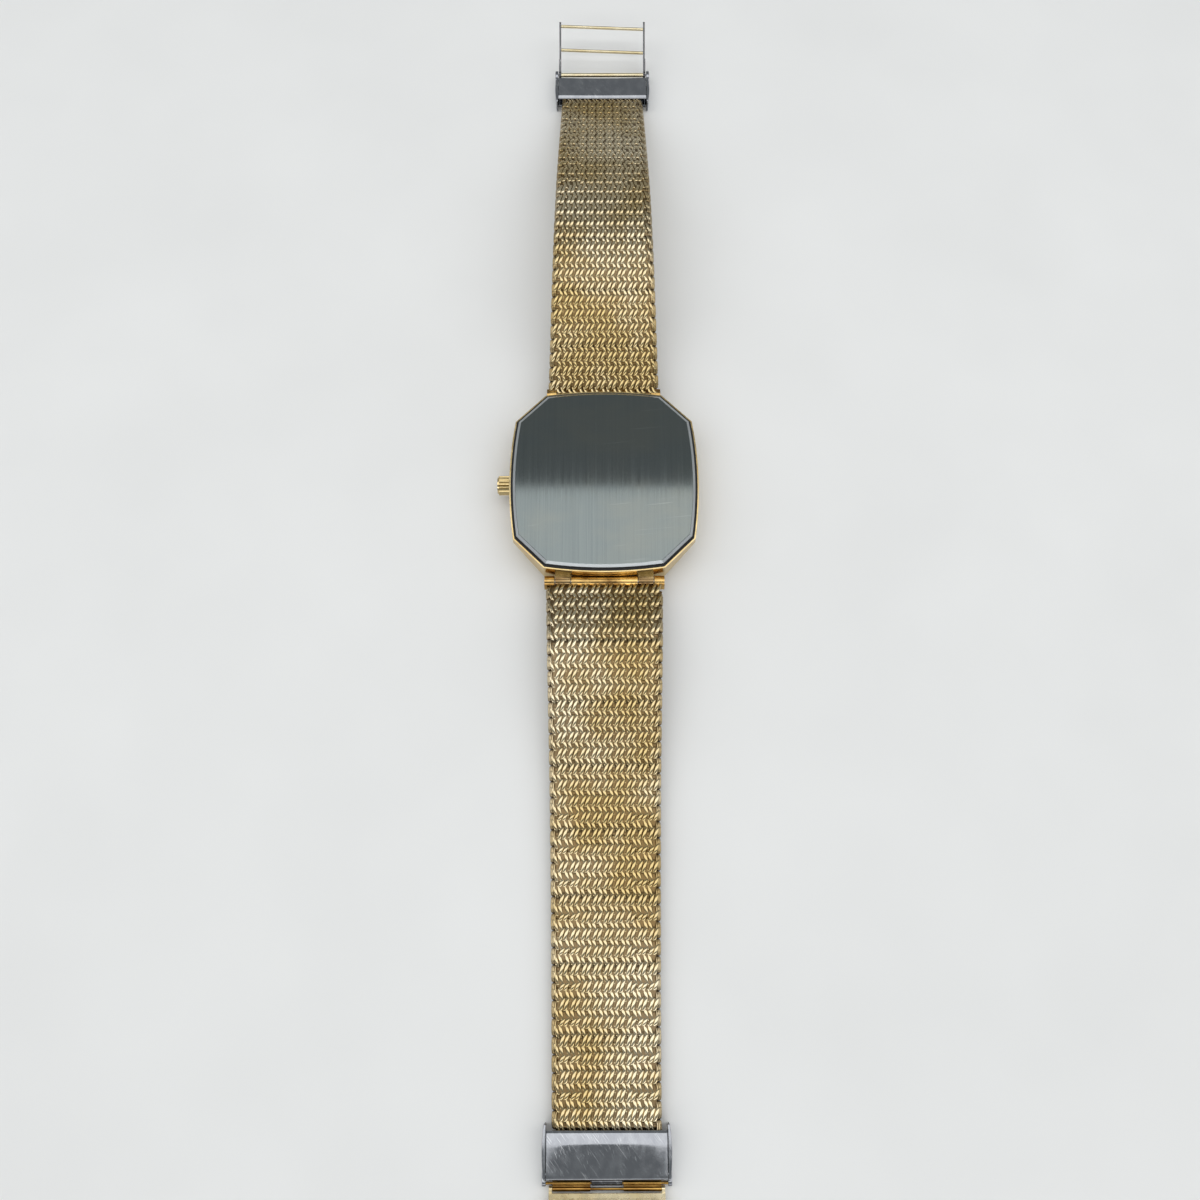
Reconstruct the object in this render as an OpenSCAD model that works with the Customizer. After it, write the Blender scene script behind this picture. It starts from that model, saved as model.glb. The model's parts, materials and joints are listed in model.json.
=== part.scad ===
// Dress watch with a woven mesh strap and a ladder clasp, lying face down and open.
// The origin is the centre of the crystal's outer face. +Z points out of the case back,
// +Y to the 12 o'clock strap and -X to the crown. All sizes are in millimetres.

/* [Case] */
// Width of the case, crown side to far side
case_w = 32; // [31:0.5:34]
// Length of the case along the strap
case_l = 33.7; // [32.5:0.5:36]
// Distance from the centre to each corner facet
corner_d = 18.45; // [17.8:0.05:19]
// Radius of the bowed long sides
side_r = 70; // [60:5:120]
// Radius of the bowed strap ends
end_r = 66; // [60:5:120]
// How far the crystal stands proud of the bezel
crystal_proud = 0.3; // [0.2:0.05:0.5]
// Height of the sloping front bevel at the strap ends
bevel_h = 1.8; // [1:0.1:1.9]
// Inward run of the front bevel at the strap ends
bevel_run = 1.8; // [1.2:0.1:2.4]
// Height of the sloping front bevel along the long sides
side_bevel_h = 4.1; // [3:0.1:4.6]
// Inward run of the front bevel along the long sides
side_bevel_run = 2.2; // [1.4:0.1:2.6]
// Inward run of the front bevel at the corner facets
corner_bevel_run = 1.9; // [1.4:0.1:2.2]
// Inward lean of the case band towards the back
band_lean = 0.06; // [0.02:0.02:0.3]
// Height of the case back's seat above the crystal's face
seat_z = 5.9; // [5.8:0.1:6.6]
// Thickness of the case back above its seat
back_t = 0.8; // [0.6:0.1:1.4]
// Width of the gold rim round the case back
rim_w = 0.22; // [0.15:0.01:0.3]
// Width of the gap between the rim and the case back
rim_gap = 0.4; // [0.2:0.05:0.5]
// Width of the sloping edge of the case back
back_edge = 0.45; // [0.2:0.05:0.6]

/* [Crystal and dial] */
// Thickness of the crystal
crystal_t = 1.2; // [1:0.1:1.4]
// Inset of the crystal from the case outline
crystal_inset = 3.6; // [3.3:0.1:4]
// Wall of the crystal gasket
crystal_gap = 0.18; // [0.12:0.02:0.3]
// Depth of the dial's seat behind the crystal's outer face
dial_z = 2.3; // [2.2:0.05:2.5]
// Thickness of the dial
dial_t = 0.4; // [0.3:0.05:0.5]
// Gap between the hour markers and the edge of the reflector ring's window
marker_gap = 1.7; // [1.2:0.1:2.6]
// Length of a single hour marker
marker_l = 2.2; // [1.5:0.1:2.6]
// Length of the minute hand from the centre
minute_hand_l = 8.6; // [7:0.1:9.5]
// Length of the hour hand from the centre
hour_hand_l = 6; // [5:0.1:7]

/* [Movement] */
// Radius of the main plate
movement_r = 11.5; // [11.3:0.1:12]
// Thickness of the main plate
plate_t = 1.4; // [1.35:0.05:1.5]
// Diameter of the battery
battery_d = 7.9; // [6.8:0.1:7.9]
// Thickness of the battery
battery_t = 1.65; // [1.2:0.05:1.65]
// Teeth on the centre wheel
centre_teeth = 50; // [44:2:50]
// Teeth on the third wheel
third_teeth = 60; // [54:2:60]
// Teeth on the fifth wheel
fifth_teeth = 30; // [26:2:30]
// Teeth on the train's three pinions
pinion_teeth = 10; // [10:1:11]

/* [Crown] */
// Diameter of the crown
crown_d = 3.3; // [3:0.1:3.6]
// Length of the crown
crown_l = 2; // [1.6:0.1:2.4]
// Number of flutes round the crown
crown_flutes = 22; // [16:1:26]
// Radius of the winding stem
stem_r = 0.4; // [0.35:0.01:0.42]
// Travel of the crown from pushed in to pulled out
crown_travel = 0.8; // [0.6:0.1:0.9]

/* [Strap] */
// Thickness of the woven strap
strap_t = 1.7; // [1.5:0.1:1.8]
// Width of the strap where it meets the case
strap_w_case = 19.8; // [18:0.2:19.8]
// Width of the strap at the clasp
strap_w_clasp = 16.2; // [15:0.2:16.4]
// Length of one pair of wire rows on the 12 o'clock strap
upper_pair = 2.45; // [2.4:0.05:2.6]
// Length of one pair of wire rows on the 6 o'clock strap
lower_pair = 2.5; // [2.4:0.05:2.6]
// Radial clearance at the joints between strap segments
flex_gap = 0.06; // [0.04:0.01:0.09]
// Distance of the strap pins from the case centre
pin_y = 17.5; // [17.5:0.1:18.2]
// Height of the strap pins
pin_z = 3.2; // [3:0.1:3.4]
// Radius of the strap pins
pin_r = 0.45; // [0.35:0.05:0.5]
// Radius of the strap's end tube
tube_r = 1; // [0.9:0.05:1.05]

/* [Clasp] */
// Width of the end clamps over their flanges
clamp_w = 18.4; // [18.2:0.1:19]
// Height of the end clamps
clamp_h = 2.9; // [2.8:0.1:3]
// Thickness of the clamps' sheet
sheet_t = 0.5; // [0.4:0.05:0.55]
// Length of the 12 o'clock lock plate
upper_plate_l = 5.1; // [4.6:0.1:5.3]
// Length of the 6 o'clock lock plate
lower_plate_l = 6; // [5:0.1:6.1]
// Run of the rolled lip of the lock plates
lip_run = 1.5; // [1:0.1:2]
// Pitch of the ladder's bars
ladder_pitch = 4.6; // [4.2:0.1:5.5]
// Number of ladder bars, the hinge bar left out
ladder_bars_n = 2; // [1:1:3]
// Skew of the ladder's bars between their rails
bar_skew = 2.2; // [0:0.2:3]
// Angle at which the open ladder stands up
ladder_rise = 22; // [0:1:30]
// Length of the folding cover
cover_l = 20; // [16:0.5:26]
// Width of the folding cover
cover_w = 16.4; // [15:0.1:16.6]
// Thickness of the folding cover over its side walls
cover_h = 1.4; // [1.2:0.1:1.8]
// Pitch of the cover's lengthwise flutes
flute_pitch = 0.56; // [0.5:0.02:0.8]

/* [Hidden] */

// Row pairs in each strap segment, and the segment's slope in degrees away from the case
UPPER_PAIRS = [3, 4, 4, 4, 4, 4, 5];
UPPER_SLOPES = [25, 22, 11, -2, -14, -22, -21.4];
LOWER_PAIRS = [4, 4, 4, 4, 4, 4, 4, 5];
LOWER_SLOPES = [14, -8, -11, -4, -2, 0, 0, 0];
// Number of pressed adjusting grooves along each strap, one every two row pairs
UPPER_GROOVES = 6;
LOWER_GROOVES = 9;

GOLD = [0.84, 0.70, 0.42];
GOLD_MESH = [0.80, 0.68, 0.44];
STEEL = [0.62, 0.64, 0.66];
POLISHED = [0.78, 0.79, 0.81];
BRASS = [0.80, 0.66, 0.36];
WHITE_PLASTIC = [0.90, 0.90, 0.88];
BLACK_RUBBER = [0.12, 0.12, 0.12];

round_fn = 64;
bow_fn = 220;
big = 60;
slack = 0.05;
pin_slack = 0.02;
cut = 0.5;

band_z = crystal_proud + bevel_h;
side_band_z = crystal_proud + side_bevel_h;
back_inset = band_lean + rim_w + rim_gap;
back_slope = 0.3;
groove_depth = 0.5;
groove_in = back_inset + 0.3;
back_neck_inset = groove_in + 0.15;
crystal_hole_inset = crystal_inset - crystal_gap;
window_inset = crystal_inset + 0.6;
marker_ring_r = min(case_w, case_l) / 2 - window_inset - marker_gap - marker_l / 2;
dial_inset = 2.35;
cavity_inset = 2.3;
cavity_top = seat_z - 0.85;
recess_inset = groove_in + 0.75;
snap_wall = 0.6;

plate_z = dial_z + dial_t;
train_z = plate_z + plate_t;
works_t = 0.6;
works_top = plate_z + works_t;
bridge_z = train_z + 0.9;
bridge_t = 0.25;
wheel_t = 0.14;
pinion_t = 0.26;
pivot_r = 0.15;

// Gear modules: the train's fine wheels, its coarse wheels and the motion works
train_m = 0.1;
third_m = 0.08;
cannon_teeth = 12;
minute_teeth = 36;
minute_pinion_teeth = 10;
hour_teeth = 40;
works_reach = train_m * (cannon_teeth + minute_teeth) / 2;
hour_m = 2 * works_reach / (minute_pinion_teeth + hour_teeth);

minute_angle = 60;
hour_angle = 305;
third_dir = -30;
fifth_dir = -60;
rotor_dir = -110;
works_dir = 150;
third_pos = polar(train_m * (centre_teeth + pinion_teeth) / 2, third_dir);
fifth_pos = third_pos + polar(third_m * (third_teeth + pinion_teeth) / 2, fifth_dir);
rotor_pos = fifth_pos + polar(train_m * (fifth_teeth + pinion_teeth) / 2, rotor_dir);
works_pos = polar(works_reach, works_dir);
third_phase = mesh_phase(minute_angle, centre_teeth, pinion_teeth, third_dir);
fifth_phase = mesh_phase(third_phase, third_teeth, pinion_teeth, fifth_dir);
rotor_phase = mesh_phase(fifth_phase, fifth_teeth, pinion_teeth, rotor_dir);
works_phase = mesh_phase(minute_angle, cannon_teeth, minute_teeth, works_dir);
hour_phase = mesh_phase(works_phase, minute_pinion_teeth, hour_teeth, works_dir + 180);

arbor_r = 0.42;
hour_tube_r = 0.7;
dial_hole_r = 0.8;
minute_hand_z = crystal_t + 0.25;
hour_hand_z = minute_hand_z + 0.4;
hand_t = 0.15;

battery_pos = [-5.2, 4.6];
battery_z = plate_z + 0.9;
screw_spots = [[7.3, -1.1], [-3.4, -2.7], [-9.9, 3.6], [8.9, -5.2]];
screw_r = 0.3;
screw_head_r = 0.55;
coil_l = 8;
coil_r = 0.7;
coil_pos = [-0.6, -8.4];
coil_z = train_z + coil_r + 0.1;
rotor_hole_r = 0.8;

crown_z = plate_z + 0.8;
crown_x = case_w / 2 + slack;
crown_cap_t = 1.05;
crown_tube_r = 1;
crown_tube_bore = 0.62;
crown_tube_out = crown_l - crown_cap_t - 0.1;
stem_end_x = 7.6;
groove_x = 8.8;
groove_half = 0.3;
neck_r = 0.25;
finger_half = 0.2;

upper_lead = 1.2;
slab_start = 1.1;
// Depth and half width of the valleys between the rows of wire
row_dip = 0.4;
row_slope = 0.32;
// Step between two surfaces that would otherwise only just touch along a line
seam_step = 0.01;
UPPER_LENGTHS = seg_lengths(UPPER_PAIRS, upper_pair);
LOWER_LENGTHS = seg_lengths(LOWER_PAIRS, lower_pair);
lug_x0 = 5.6;
lug_x1 = 8.1;
knuckle_gap = 0.15;
lug_r = tube_r - 0.05;

flange_in = clamp_w / 2 - 0.55;
half_h = clamp_h / 2;
ladder_axis = [upper_plate_l + 1.35, 0.5];
ladder_half = flange_in - 0.15;
rail_t = 0.45;
rail_h = 1;
rail_eye_r = 0.7;
rail_root = 3;
rail_step = 0.1;
bar_r = 0.3;
hinge_bar_r = 0.4;
small_pin_r = 0.2;
small_bore_r = small_pin_r + pin_slack + 0.01;
link_axis = [lower_plate_l + 1.05, -0.95];
barrel_r = 0.33;
link_pitch = 2 * barrel_r + 0.1;
cover_axis = [link_axis[0] + link_pitch, link_axis[1]];
cover_bottom = link_axis[1] - 0.1;
ear_r = 0.45;

function polar(r, a) = [r * cos(a), r * sin(a)];

// Tooth angle that puts a follower's gap over its driver's tooth, seen in direction dir
function mesh_phase(a, n_driver, n_follower, dir) =
    dir + 180 + 180 / n_follower + (dir - a) * n_driver / n_follower;

// Length of each segment; the first one also spans the end tube
function seg_lengths(pairs, pitch) =
    [for (i = [0 : len(pairs) - 1]) pairs[i] * pitch + (i == 0 ? upper_lead : 0)];

// Place of joint i along a strap, as [y, z] away from the case
function joint_at(lengths, slopes, i) =
    i == 0 ? [pin_y, pin_z]
           : joint_at(lengths, slopes, i - 1) + polar(lengths[i - 1], slopes[i - 1]);

function total(list, i = 0) = i == len(list) ? 0 : list[i] + total(list, i + 1);
function head(list, n) = n == 0 ? 0 : list[n - 1] + head(list, n - 1);

// Strap width at a distance s from its pin: it tapers fast near the case, then slowly
function strap_w(s, length) =
    let (u = s / length)
    strap_w_clasp + (strap_w_case - strap_w_clasp) * (1 - u) * (1 - 0.45 * u);

// Corners of the outline in its first quarter, where a facet meets a long side and a strap end
function side_corner() =
    let (s = corner_d * sqrt(2), y = side_r - sqrt(side_r * side_r - 2 * side_r * (s - case_w / 2)))
    [s - y, y, side_band_z];
function end_corner() =
    let (s = corner_d * sqrt(2), x = end_r - sqrt(end_r * end_r - 2 * end_r * (s - case_l / 2)))
    [x, s - x, band_z];
function bevel_foot() =
    let (a = side_corner(), b = end_corner(), d = corner_bevel_run / sqrt(2))
    [(a[0] + b[0]) / 2 - d, (a[1] + b[1]) / 2 - d, crystal_proud];

module bow(offset_x, offset_y, r, o0, o1, z0, z1) {
    translate([offset_x, offset_y, z0])
        cylinder(h = z1 - z0, r1 = r + o0, r2 = r + o1, $fn = bow_fn);
}

// Solid with the case's outline, moved outwards by o0 at z0 and by o1 at z1
module outline_block(o0, o1, z0, z1) {
    lean = atan((o1 - o0) / (z1 - z0));
    difference() {
        intersection() {
            bow(case_w / 2 - side_r, 0, side_r, o0, o1, z0, z1);
            bow(side_r - case_w / 2, 0, side_r, o0, o1, z0, z1);
            bow(0, case_l / 2 - end_r, end_r, o0, o1, z0, z1);
            bow(0, end_r - case_l / 2, end_r, o0, o1, z0, z1);
        }
        for (k = [0 : 3])
            rotate([0, 0, 45 + 90 * k])
                translate([corner_d + o0, 0, z0])
                    rotate([0, lean, 0])
                        translate([0, -big / 2, -big / 2])
                            cube(big);
    }
}

// Bowed flank with its front bevel below z1, leaning in by band_lean above it
module flank(offset_x, offset_y, r, run, z1) {
    translate([offset_x, offset_y, 0])
        rotate_extrude($fn = bow_fn)
            polygon([[0, crystal_proud], [r - run, crystal_proud], [r, z1], [r - band_lean, seat_z],
                     [0, seat_z]]);
}

// Everything beyond a plane through one point, with its normal pointing out
module beyond(point, normal) {
    flat = norm([normal[0], normal[1]]);
    translate(point)
        rotate([0, -atan2(normal[2], flat), atan2(normal[1], normal[0])])
            translate([0, -big / 2, -big / 2])
                cube(big);
}

// The case before anything is cut into it: bowed flanks, corner facets and the front bevels
module case_block() {
    a = side_corner();
    b = end_corner();
    slope = cross(a - b, bevel_foot() - b);
    lean = atan(band_lean / (seat_z - crystal_proud));
    difference() {
        intersection() {
            flank(case_w / 2 - side_r, 0, side_r, side_bevel_run, side_band_z);
            flank(side_r - case_w / 2, 0, side_r, side_bevel_run, side_band_z);
            flank(0, case_l / 2 - end_r, end_r, bevel_run, band_z);
            flank(0, end_r - case_l / 2, end_r, bevel_run, band_z);
        }
        for (sx = [-1, 1], sy = [-1, 1])
            scale([sx, sy, 1]) {
                beyond([corner_d / sqrt(2), corner_d / sqrt(2), crystal_proud],
                       [cos(lean), cos(lean), sqrt(2) * sin(lean)]);
                beyond(b, slope[0] > 0 ? slope : -slope);
            }
    }
}

module outline_ring(o_out, o_in, z0, z1) {
    difference() {
        outline_block(o_out, o_out, z0, z1);
        outline_block(o_in, o_in, z0 - cut, z1 + cut);
    }
}

// Cylinder along X between two x values, centred on [y, z]
module x_rod(x0, x1, yz, r) {
    translate([x0, yz[0], yz[1]])
        rotate([0, 90, 0])
            cylinder(h = x1 - x0, r = r, $fn = round_fn);
}

module x_box(x0, x1, y0, y1, z0, z1) {
    translate([x0, y0, z0])
        cube([x1 - x0, y1 - y0, z1 - z0]);
}

module z_rod(pos, r, z0, z1) {
    translate([pos[0], pos[1], z0])
        cylinder(h = z1 - z0, r = r, $fn = round_fn);
}

// Straight-flanked gear: four outline points for each tooth
module gear(teeth, m, phase, z0, thick) {
    pitch = teeth * m / 2;
    tip = pitch + 0.75 * m;
    root = pitch - 0.95 * m;
    step = 360 / teeth;
    translate([0, 0, z0])
        linear_extrude(height = thick)
            polygon([for (i = [0 : teeth - 1])
                     for (p = [[root, -0.32], [tip, -0.1], [tip, 0.1], [root, 0.32]])
                     polar(p[0], phase + step * (i + p[1]))]);
}

module case_lugs() {
    for (sx = [-1, 1], sy = [-1, 1])
        scale([sx, sy, 1]) {
            x_rod(lug_x0, lug_x1, [pin_y, pin_z], lug_r);
            x_box(lug_x0, lug_x1, case_l / 2 - cavity_inset + 0.3, pin_y, pin_z - lug_r + pin_slack,
                  pin_z + lug_r - pin_slack);
        }
}

module case_body() {
    color(GOLD)
        difference() {
            union() {
                difference() {
                    case_block();
                    for (sy = [-1, 1])
                        x_rod(-strap_w_case / 2 - 0.2, strap_w_case / 2 + 0.2, [sy * pin_y, pin_z],
                              tube_r + 0.12);
                }
                case_lugs();
            }
            outline_block(-crystal_hole_inset, -crystal_hole_inset, -cut, crystal_t);
            outline_block(-window_inset, -window_inset, 0, dial_z + cut);
            outline_block(-cavity_inset, -cavity_inset, dial_z, seat_z + cut);
            outline_block(-recess_inset, -recess_inset, cavity_top, seat_z + cut);
            outline_ring(-band_lean - rim_w, -groove_in, seat_z - groove_depth, seat_z + cut);
            for (sy = [-1, 1])
                x_rod(-big / 2, big / 2, [sy * pin_y, pin_z], pin_r + pin_slack);
            x_rod(-big / 2, 0, [0, crown_z], crown_tube_r);
        }
}

// Flank of the case back: upright, then sloping in to the flat
module back_flank(offset_x, offset_y, r, z0) {
    z1 = seat_z + back_t;
    translate([offset_x, offset_y, 0])
        rotate_extrude($fn = bow_fn)
            polygon([[0, z0], [r - back_inset, z0], [r - back_inset, z1 - back_slope],
                     [r - back_inset - back_edge, z1], [0, z1]]);
}

// Case back above its neck; its corner slopes start a little lower than its side slopes
module back_block(z0) {
    d = (corner_d - back_inset) / sqrt(2);
    difference() {
        intersection() {
            back_flank(case_w / 2 - side_r, 0, side_r, z0);
            back_flank(side_r - case_w / 2, 0, side_r, z0);
            back_flank(0, case_l / 2 - end_r, end_r, z0);
            back_flank(0, end_r - case_l / 2, end_r, z0);
        }
        for (sx = [-1, 1], sy = [-1, 1])
            scale([sx, sy, 1]) {
                beyond([d, d, z0], [1, 1, 0]);
                beyond([d, d, seat_z + back_t - back_slope - 0.02],
                       [back_slope, back_slope, back_edge * sqrt(2)]);
            }
    }
}

module case_back() {
    neck = 0.15;
    color(STEEL)
        union() {
            outline_block(-back_neck_inset, -back_neck_inset, seat_z, seat_z + neck);
            back_block(seat_z + neck);
            outline_ring(-recess_inset - slack, -recess_inset - slack - snap_wall,
                         cavity_top + slack, seat_z);
        }
}

// Gasket in the groove under the case back's edge, where it shows in the gap
module back_gasket() {
    color(BLACK_RUBBER)
        outline_ring(-band_lean - rim_w - pin_slack, -groove_in + pin_slack,
                     seat_z - groove_depth, seat_z + 0.1);
}

module crystal() {
    edge = 0.25;
    color([0.75, 0.82, 0.86, 0.45])
        union() {
            outline_block(-crystal_inset - edge, -crystal_inset, 0, edge);
            outline_block(-crystal_inset, -crystal_inset, edge, crystal_t);
        }
}

module crystal_gasket() {
    color(WHITE_PLASTIC)
        outline_ring(-crystal_hole_inset, -crystal_inset, crystal_proud + 0.15, crystal_t);
}

module dial_ring() {
    color(GOLD)
        difference() {
            outline_block(-window_inset - pin_slack, -window_inset - pin_slack, crystal_t, dial_z);
            outline_block(-window_inset - 0.2, -window_inset - 0.75, crystal_t, dial_z);
        }
}

module dial() {
    color([0.86, 0.80, 0.62])
        difference() {
            outline_block(-dial_inset, -dial_inset, dial_z, dial_z + dial_t);
            z_rod([0, 0], dial_hole_r, dial_z - cut, dial_z + dial_t + cut);
        }
}

// One baton an hour, and a pair of them at 12
module hour_markers() {
    marker_w = 0.42;
    marker_t = 0.2;
    color(GOLD)
        for (i = [0 : 11])
            for (dx = i == 0 ? [-0.35, 0.35] : [0])
                rotate([0, 0, 30 * i])
                    translate([dx - marker_w / 2, marker_ring_r - marker_l / 2, dial_z - marker_t])
                        cube([marker_w, marker_l, marker_t]);
}

module crown_tube() {
    x0 = case_w / 2 - cavity_inset;
    x1 = crown_x + crown_tube_out;
    color(POLISHED)
        difference() {
            x_rod(-x1, -x0, [0, crown_z], crown_tube_r);
            x_rod(-x1 - cut, -x0 + cut, [0, crown_z], crown_tube_bore);
        }
}

module crown() {
    cap_x = crown_x + crown_l;
    color(GOLD)
        difference() {
            union() {
                x_rod(-cap_x + 0.2, -crown_x, [0, crown_z], crown_d / 2);
                x_rod(-cap_x, -cap_x + 0.2, [0, crown_z], crown_d / 2 - 0.25);
            }
            x_rod(-cap_x + crown_cap_t, 0, [0, crown_z], crown_tube_r + 0.08);
            for (i = [0 : crown_flutes - 1])
                translate([-cap_x + 0.3, 0, crown_z])
                    rotate([360 * i / crown_flutes, 0, 0])
                        translate([0, crown_d / 2, 0])
                            rotate([45, 0, 0])
                                translate([0, -0.1, -0.1])
                                    cube([crown_l, 0.2, 0.2]);
        }
}

module stem() {
    x1 = crown_x + crown_l - crown_cap_t;
    color(POLISHED)
        difference() {
            x_rod(-x1, -stem_end_x, [0, crown_z], stem_r);
            difference() {
                x_rod(-groove_x - groove_half, -groove_x + groove_half, [0, crown_z], stem_r + cut);
                x_rod(-groove_x - 1, -groove_x + 1, [0, crown_z], neck_r);
            }
        }
}

module crown_gasket() {
    x1 = crown_x - 0.2;
    color(BLACK_RUBBER)
        difference() {
            x_rod(-x1, -x1 + 0.4, [0, crown_z], crown_tube_bore - pin_slack);
            x_rod(-x1 - cut, -x1 + cut, [0, crown_z], stem_r);
        }
}

// Lever that holds the stem by its groove: it lies on the plate and moves with the crown
module setting_lever() {
    lever_t = 0.25;
    color(STEEL)
        union() {
            x_box(-groove_x - 0.6, -groove_x + 0.6, -2.8, finger_half, train_z + pin_slack,
                  train_z + lever_t);
            x_box(-groove_x - finger_half, -groove_x + finger_half, -finger_half, finger_half,
                  crown_z + neck_r + pin_slack, train_z + lever_t / 2);
        }
}

module movement_holder() {
    color(WHITE_PLASTIC)
        difference() {
            outline_block(-cavity_inset - slack, -cavity_inset - slack, plate_z, cavity_top);
            z_rod([0, 0], movement_r, plate_z - cut, cavity_top + cut);
            x_rod(-big / 2, 0, [0, crown_z], stem_r + 0.15);
        }
}

module main_plate() {
    color(BRASS)
        difference() {
            union() {
                difference() {
                    z_rod([0, 0], movement_r, plate_z, train_z);
                    z_rod([0, 0], hour_m * hour_teeth / 2 + 0.35, plate_z - cut, works_top);
                    z_rod(works_pos, train_m * minute_teeth / 2 + 0.3, plate_z - cut, works_top);
                }
                z_rod(works_pos, 0.2, plate_z + pin_slack, works_top + 0.1);
            }
            z_rod([0, 0], arbor_r + 0.03, plate_z, train_z + cut);
            z_rod(battery_pos, battery_d / 2 + 0.1, battery_z, train_z + cut);
            for (p = [third_pos, fifth_pos, rotor_pos])
                z_rod(p, pivot_r + pin_slack, train_z - 0.25, train_z + cut);
            for (p = screw_spots)
                z_rod(p, screw_r, train_z - 0.6, train_z + cut);
            x_rod(-big / 2, -stem_end_x + 0.3, [0, crown_z], stem_r + 0.1);
            x_box(-groove_x - crown_travel - groove_half - 0.15, -groove_x + groove_half + 0.15, -0.3, 0.3,
                  crown_z, train_z + cut);
        }
}

module train_bridge() {
    outline = [[-4.4, -3.6], [-4.4, -1.8], [0, 0.9], [8.3, 0.2], [8.6, -2.2], [5.8, -4.8],
               [4.6, -7], [2, -7], [0.8, -4.2]];
    color(BRASS)
        difference() {
            union() {
                translate([0, 0, bridge_z])
                    linear_extrude(height = bridge_t)
                        polygon(outline);
                for (p = [screw_spots[0], screw_spots[1]])
                    z_rod(p, 0.65, train_z, bridge_z + bridge_t / 2);
            }
            for (p = [third_pos, fifth_pos, rotor_pos])
                z_rod(p, pivot_r + pin_slack, bridge_z - cut, bridge_z + bridge_t + cut);
            for (p = [screw_spots[0], screw_spots[1]])
                z_rod(p, screw_r, train_z - cut, bridge_z + bridge_t + cut);
        }
}

module screw(pos, z) {
    difference() {
        union() {
            z_rod(pos, screw_r, train_z - 0.6, z + 0.1);
            z_rod(pos, screw_head_r, z, z + 0.22);
        }
        translate([pos[0] - 0.06, pos[1] - 1, z + 0.12])
            cube([0.12, 2, 1]);
    }
}

module movement_screws() {
    color(POLISHED) {
        screw(screw_spots[0], bridge_z + bridge_t);
        screw(screw_spots[1], bridge_z + bridge_t);
        screw(screw_spots[2], battery_clamp_z() + 0.15);
        screw(screw_spots[3], train_z + 0.3);
    }
}

module circuit_board() {
    color([0.16, 0.36, 0.24])
        difference() {
            union() {
                x_box(1.2, 7.6, 3.3, 7.8, train_z, train_z + 0.3);
                x_box(6.2, 9.6, -6, 4, train_z, train_z + 0.3);
            }
            z_rod(screw_spots[0], 0.8, train_z - cut, train_z + 1);
            z_rod(screw_spots[3], screw_r, train_z - cut, train_z + 1);
        }
}

module control_chip() {
    color([0.1, 0.1, 0.11])
        x_box(2, 4.4, 3.9, 6.3, train_z + 0.3, train_z + 0.75);
}

module quartz_can() {
    color(POLISHED)
        x_rod(1.4, 6.8, [7.15, train_z + 0.3 + 0.58], 0.58);
}

module drive_coil() {
    color([0.72, 0.42, 0.24])
        x_rod(coil_pos[0] - coil_l / 2, coil_pos[0] + coil_l / 2, [coil_pos[1], coil_z], coil_r);
}

module stator() {
    leg = 1;
    x0 = coil_pos[0] - coil_l / 2 - leg;
    x1 = coil_pos[0] + coil_l / 2 + leg;
    z0 = train_z + 0.35;
    color(STEEL)
        difference() {
            union() {
                x_box(x0, x1, rotor_pos[1] - 0.7, rotor_pos[1] + 0.7, z0, z0 + 0.35);
                x_box(x0, x0 + leg, coil_pos[1] - 0.5, rotor_pos[1], train_z, z0 + 0.35);
                x_box(x1 - leg, x1, coil_pos[1] - 0.5, rotor_pos[1], train_z, z0 + 0.35);
                z_rod(rotor_pos, 1.25, z0, z0 + 0.35);
            }
            z_rod(rotor_pos, rotor_hole_r, z0 - cut, z0 + 1);
        }
}

module battery() {
    color(POLISHED)
        union() {
            z_rod(battery_pos, battery_d / 2 - 0.5, battery_z, battery_z + 0.25);
            z_rod(battery_pos, battery_d / 2, battery_z + 0.25, battery_z + battery_t);
        }
}

function battery_clamp_z() = battery_z + battery_t;

module battery_clamp() {
    post = screw_spots[2];
    color(STEEL)
        difference() {
            union() {
                x_box(post[0] - 0.7, battery_pos[0] + 1.4, post[1] - 0.7, post[1] + 0.7,
                      battery_clamp_z(), battery_clamp_z() + 0.15);
                z_rod(post, 0.65, train_z, battery_clamp_z() + 0.1);
            }
            z_rod(post, screw_r, train_z - cut, battery_clamp_z() + 1);
        }
}

module strap_pins() {
    half = strap_w_case / 2 - 0.1;
    color(STEEL)
        for (sy = [-1, 1])
            x_rod(-half, half, [sy * pin_y, pin_z], pin_r);
}

// Pointed baton hand with a round hub
module hand(length, wide, angle, z, hub_r, bore_r) {
    tail = 1.6;
    difference() {
        union() {
            rotate([0, 0, angle])
                translate([0, 0, z])
                    linear_extrude(height = hand_t)
                        polygon([[-wide / 2, -tail], [wide / 2, -tail], [wide * 0.6, length * 0.55],
                                 [0.08, length], [-0.08, length], [-wide * 0.6, length * 0.55]]);
            z_rod([0, 0], hub_r, z, z + hand_t);
        }
        z_rod([0, 0], bore_r, z - cut, z + 1);
    }
}

module minute_hand() {
    color(GOLD)
        hand(minute_hand_l, 0.5, minute_angle, minute_hand_z, 0.75, arbor_r);
}

module hour_hand() {
    color(GOLD)
        hand(hour_hand_l, 0.7, hour_angle, hour_hand_z, 0.98, hour_tube_r);
}

// Arbor through the plate with the cannon pinion below it and the driving wheel above
module centre_wheel() {
    color(BRASS)
        union() {
            z_rod([0, 0], arbor_r, minute_hand_z, train_z + 0.3);
            gear(cannon_teeth, train_m, minute_angle, plate_z + 0.3, 0.22);
            gear(centre_teeth, train_m, minute_angle, train_z + 0.12, wheel_t);
        }
}

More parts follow.
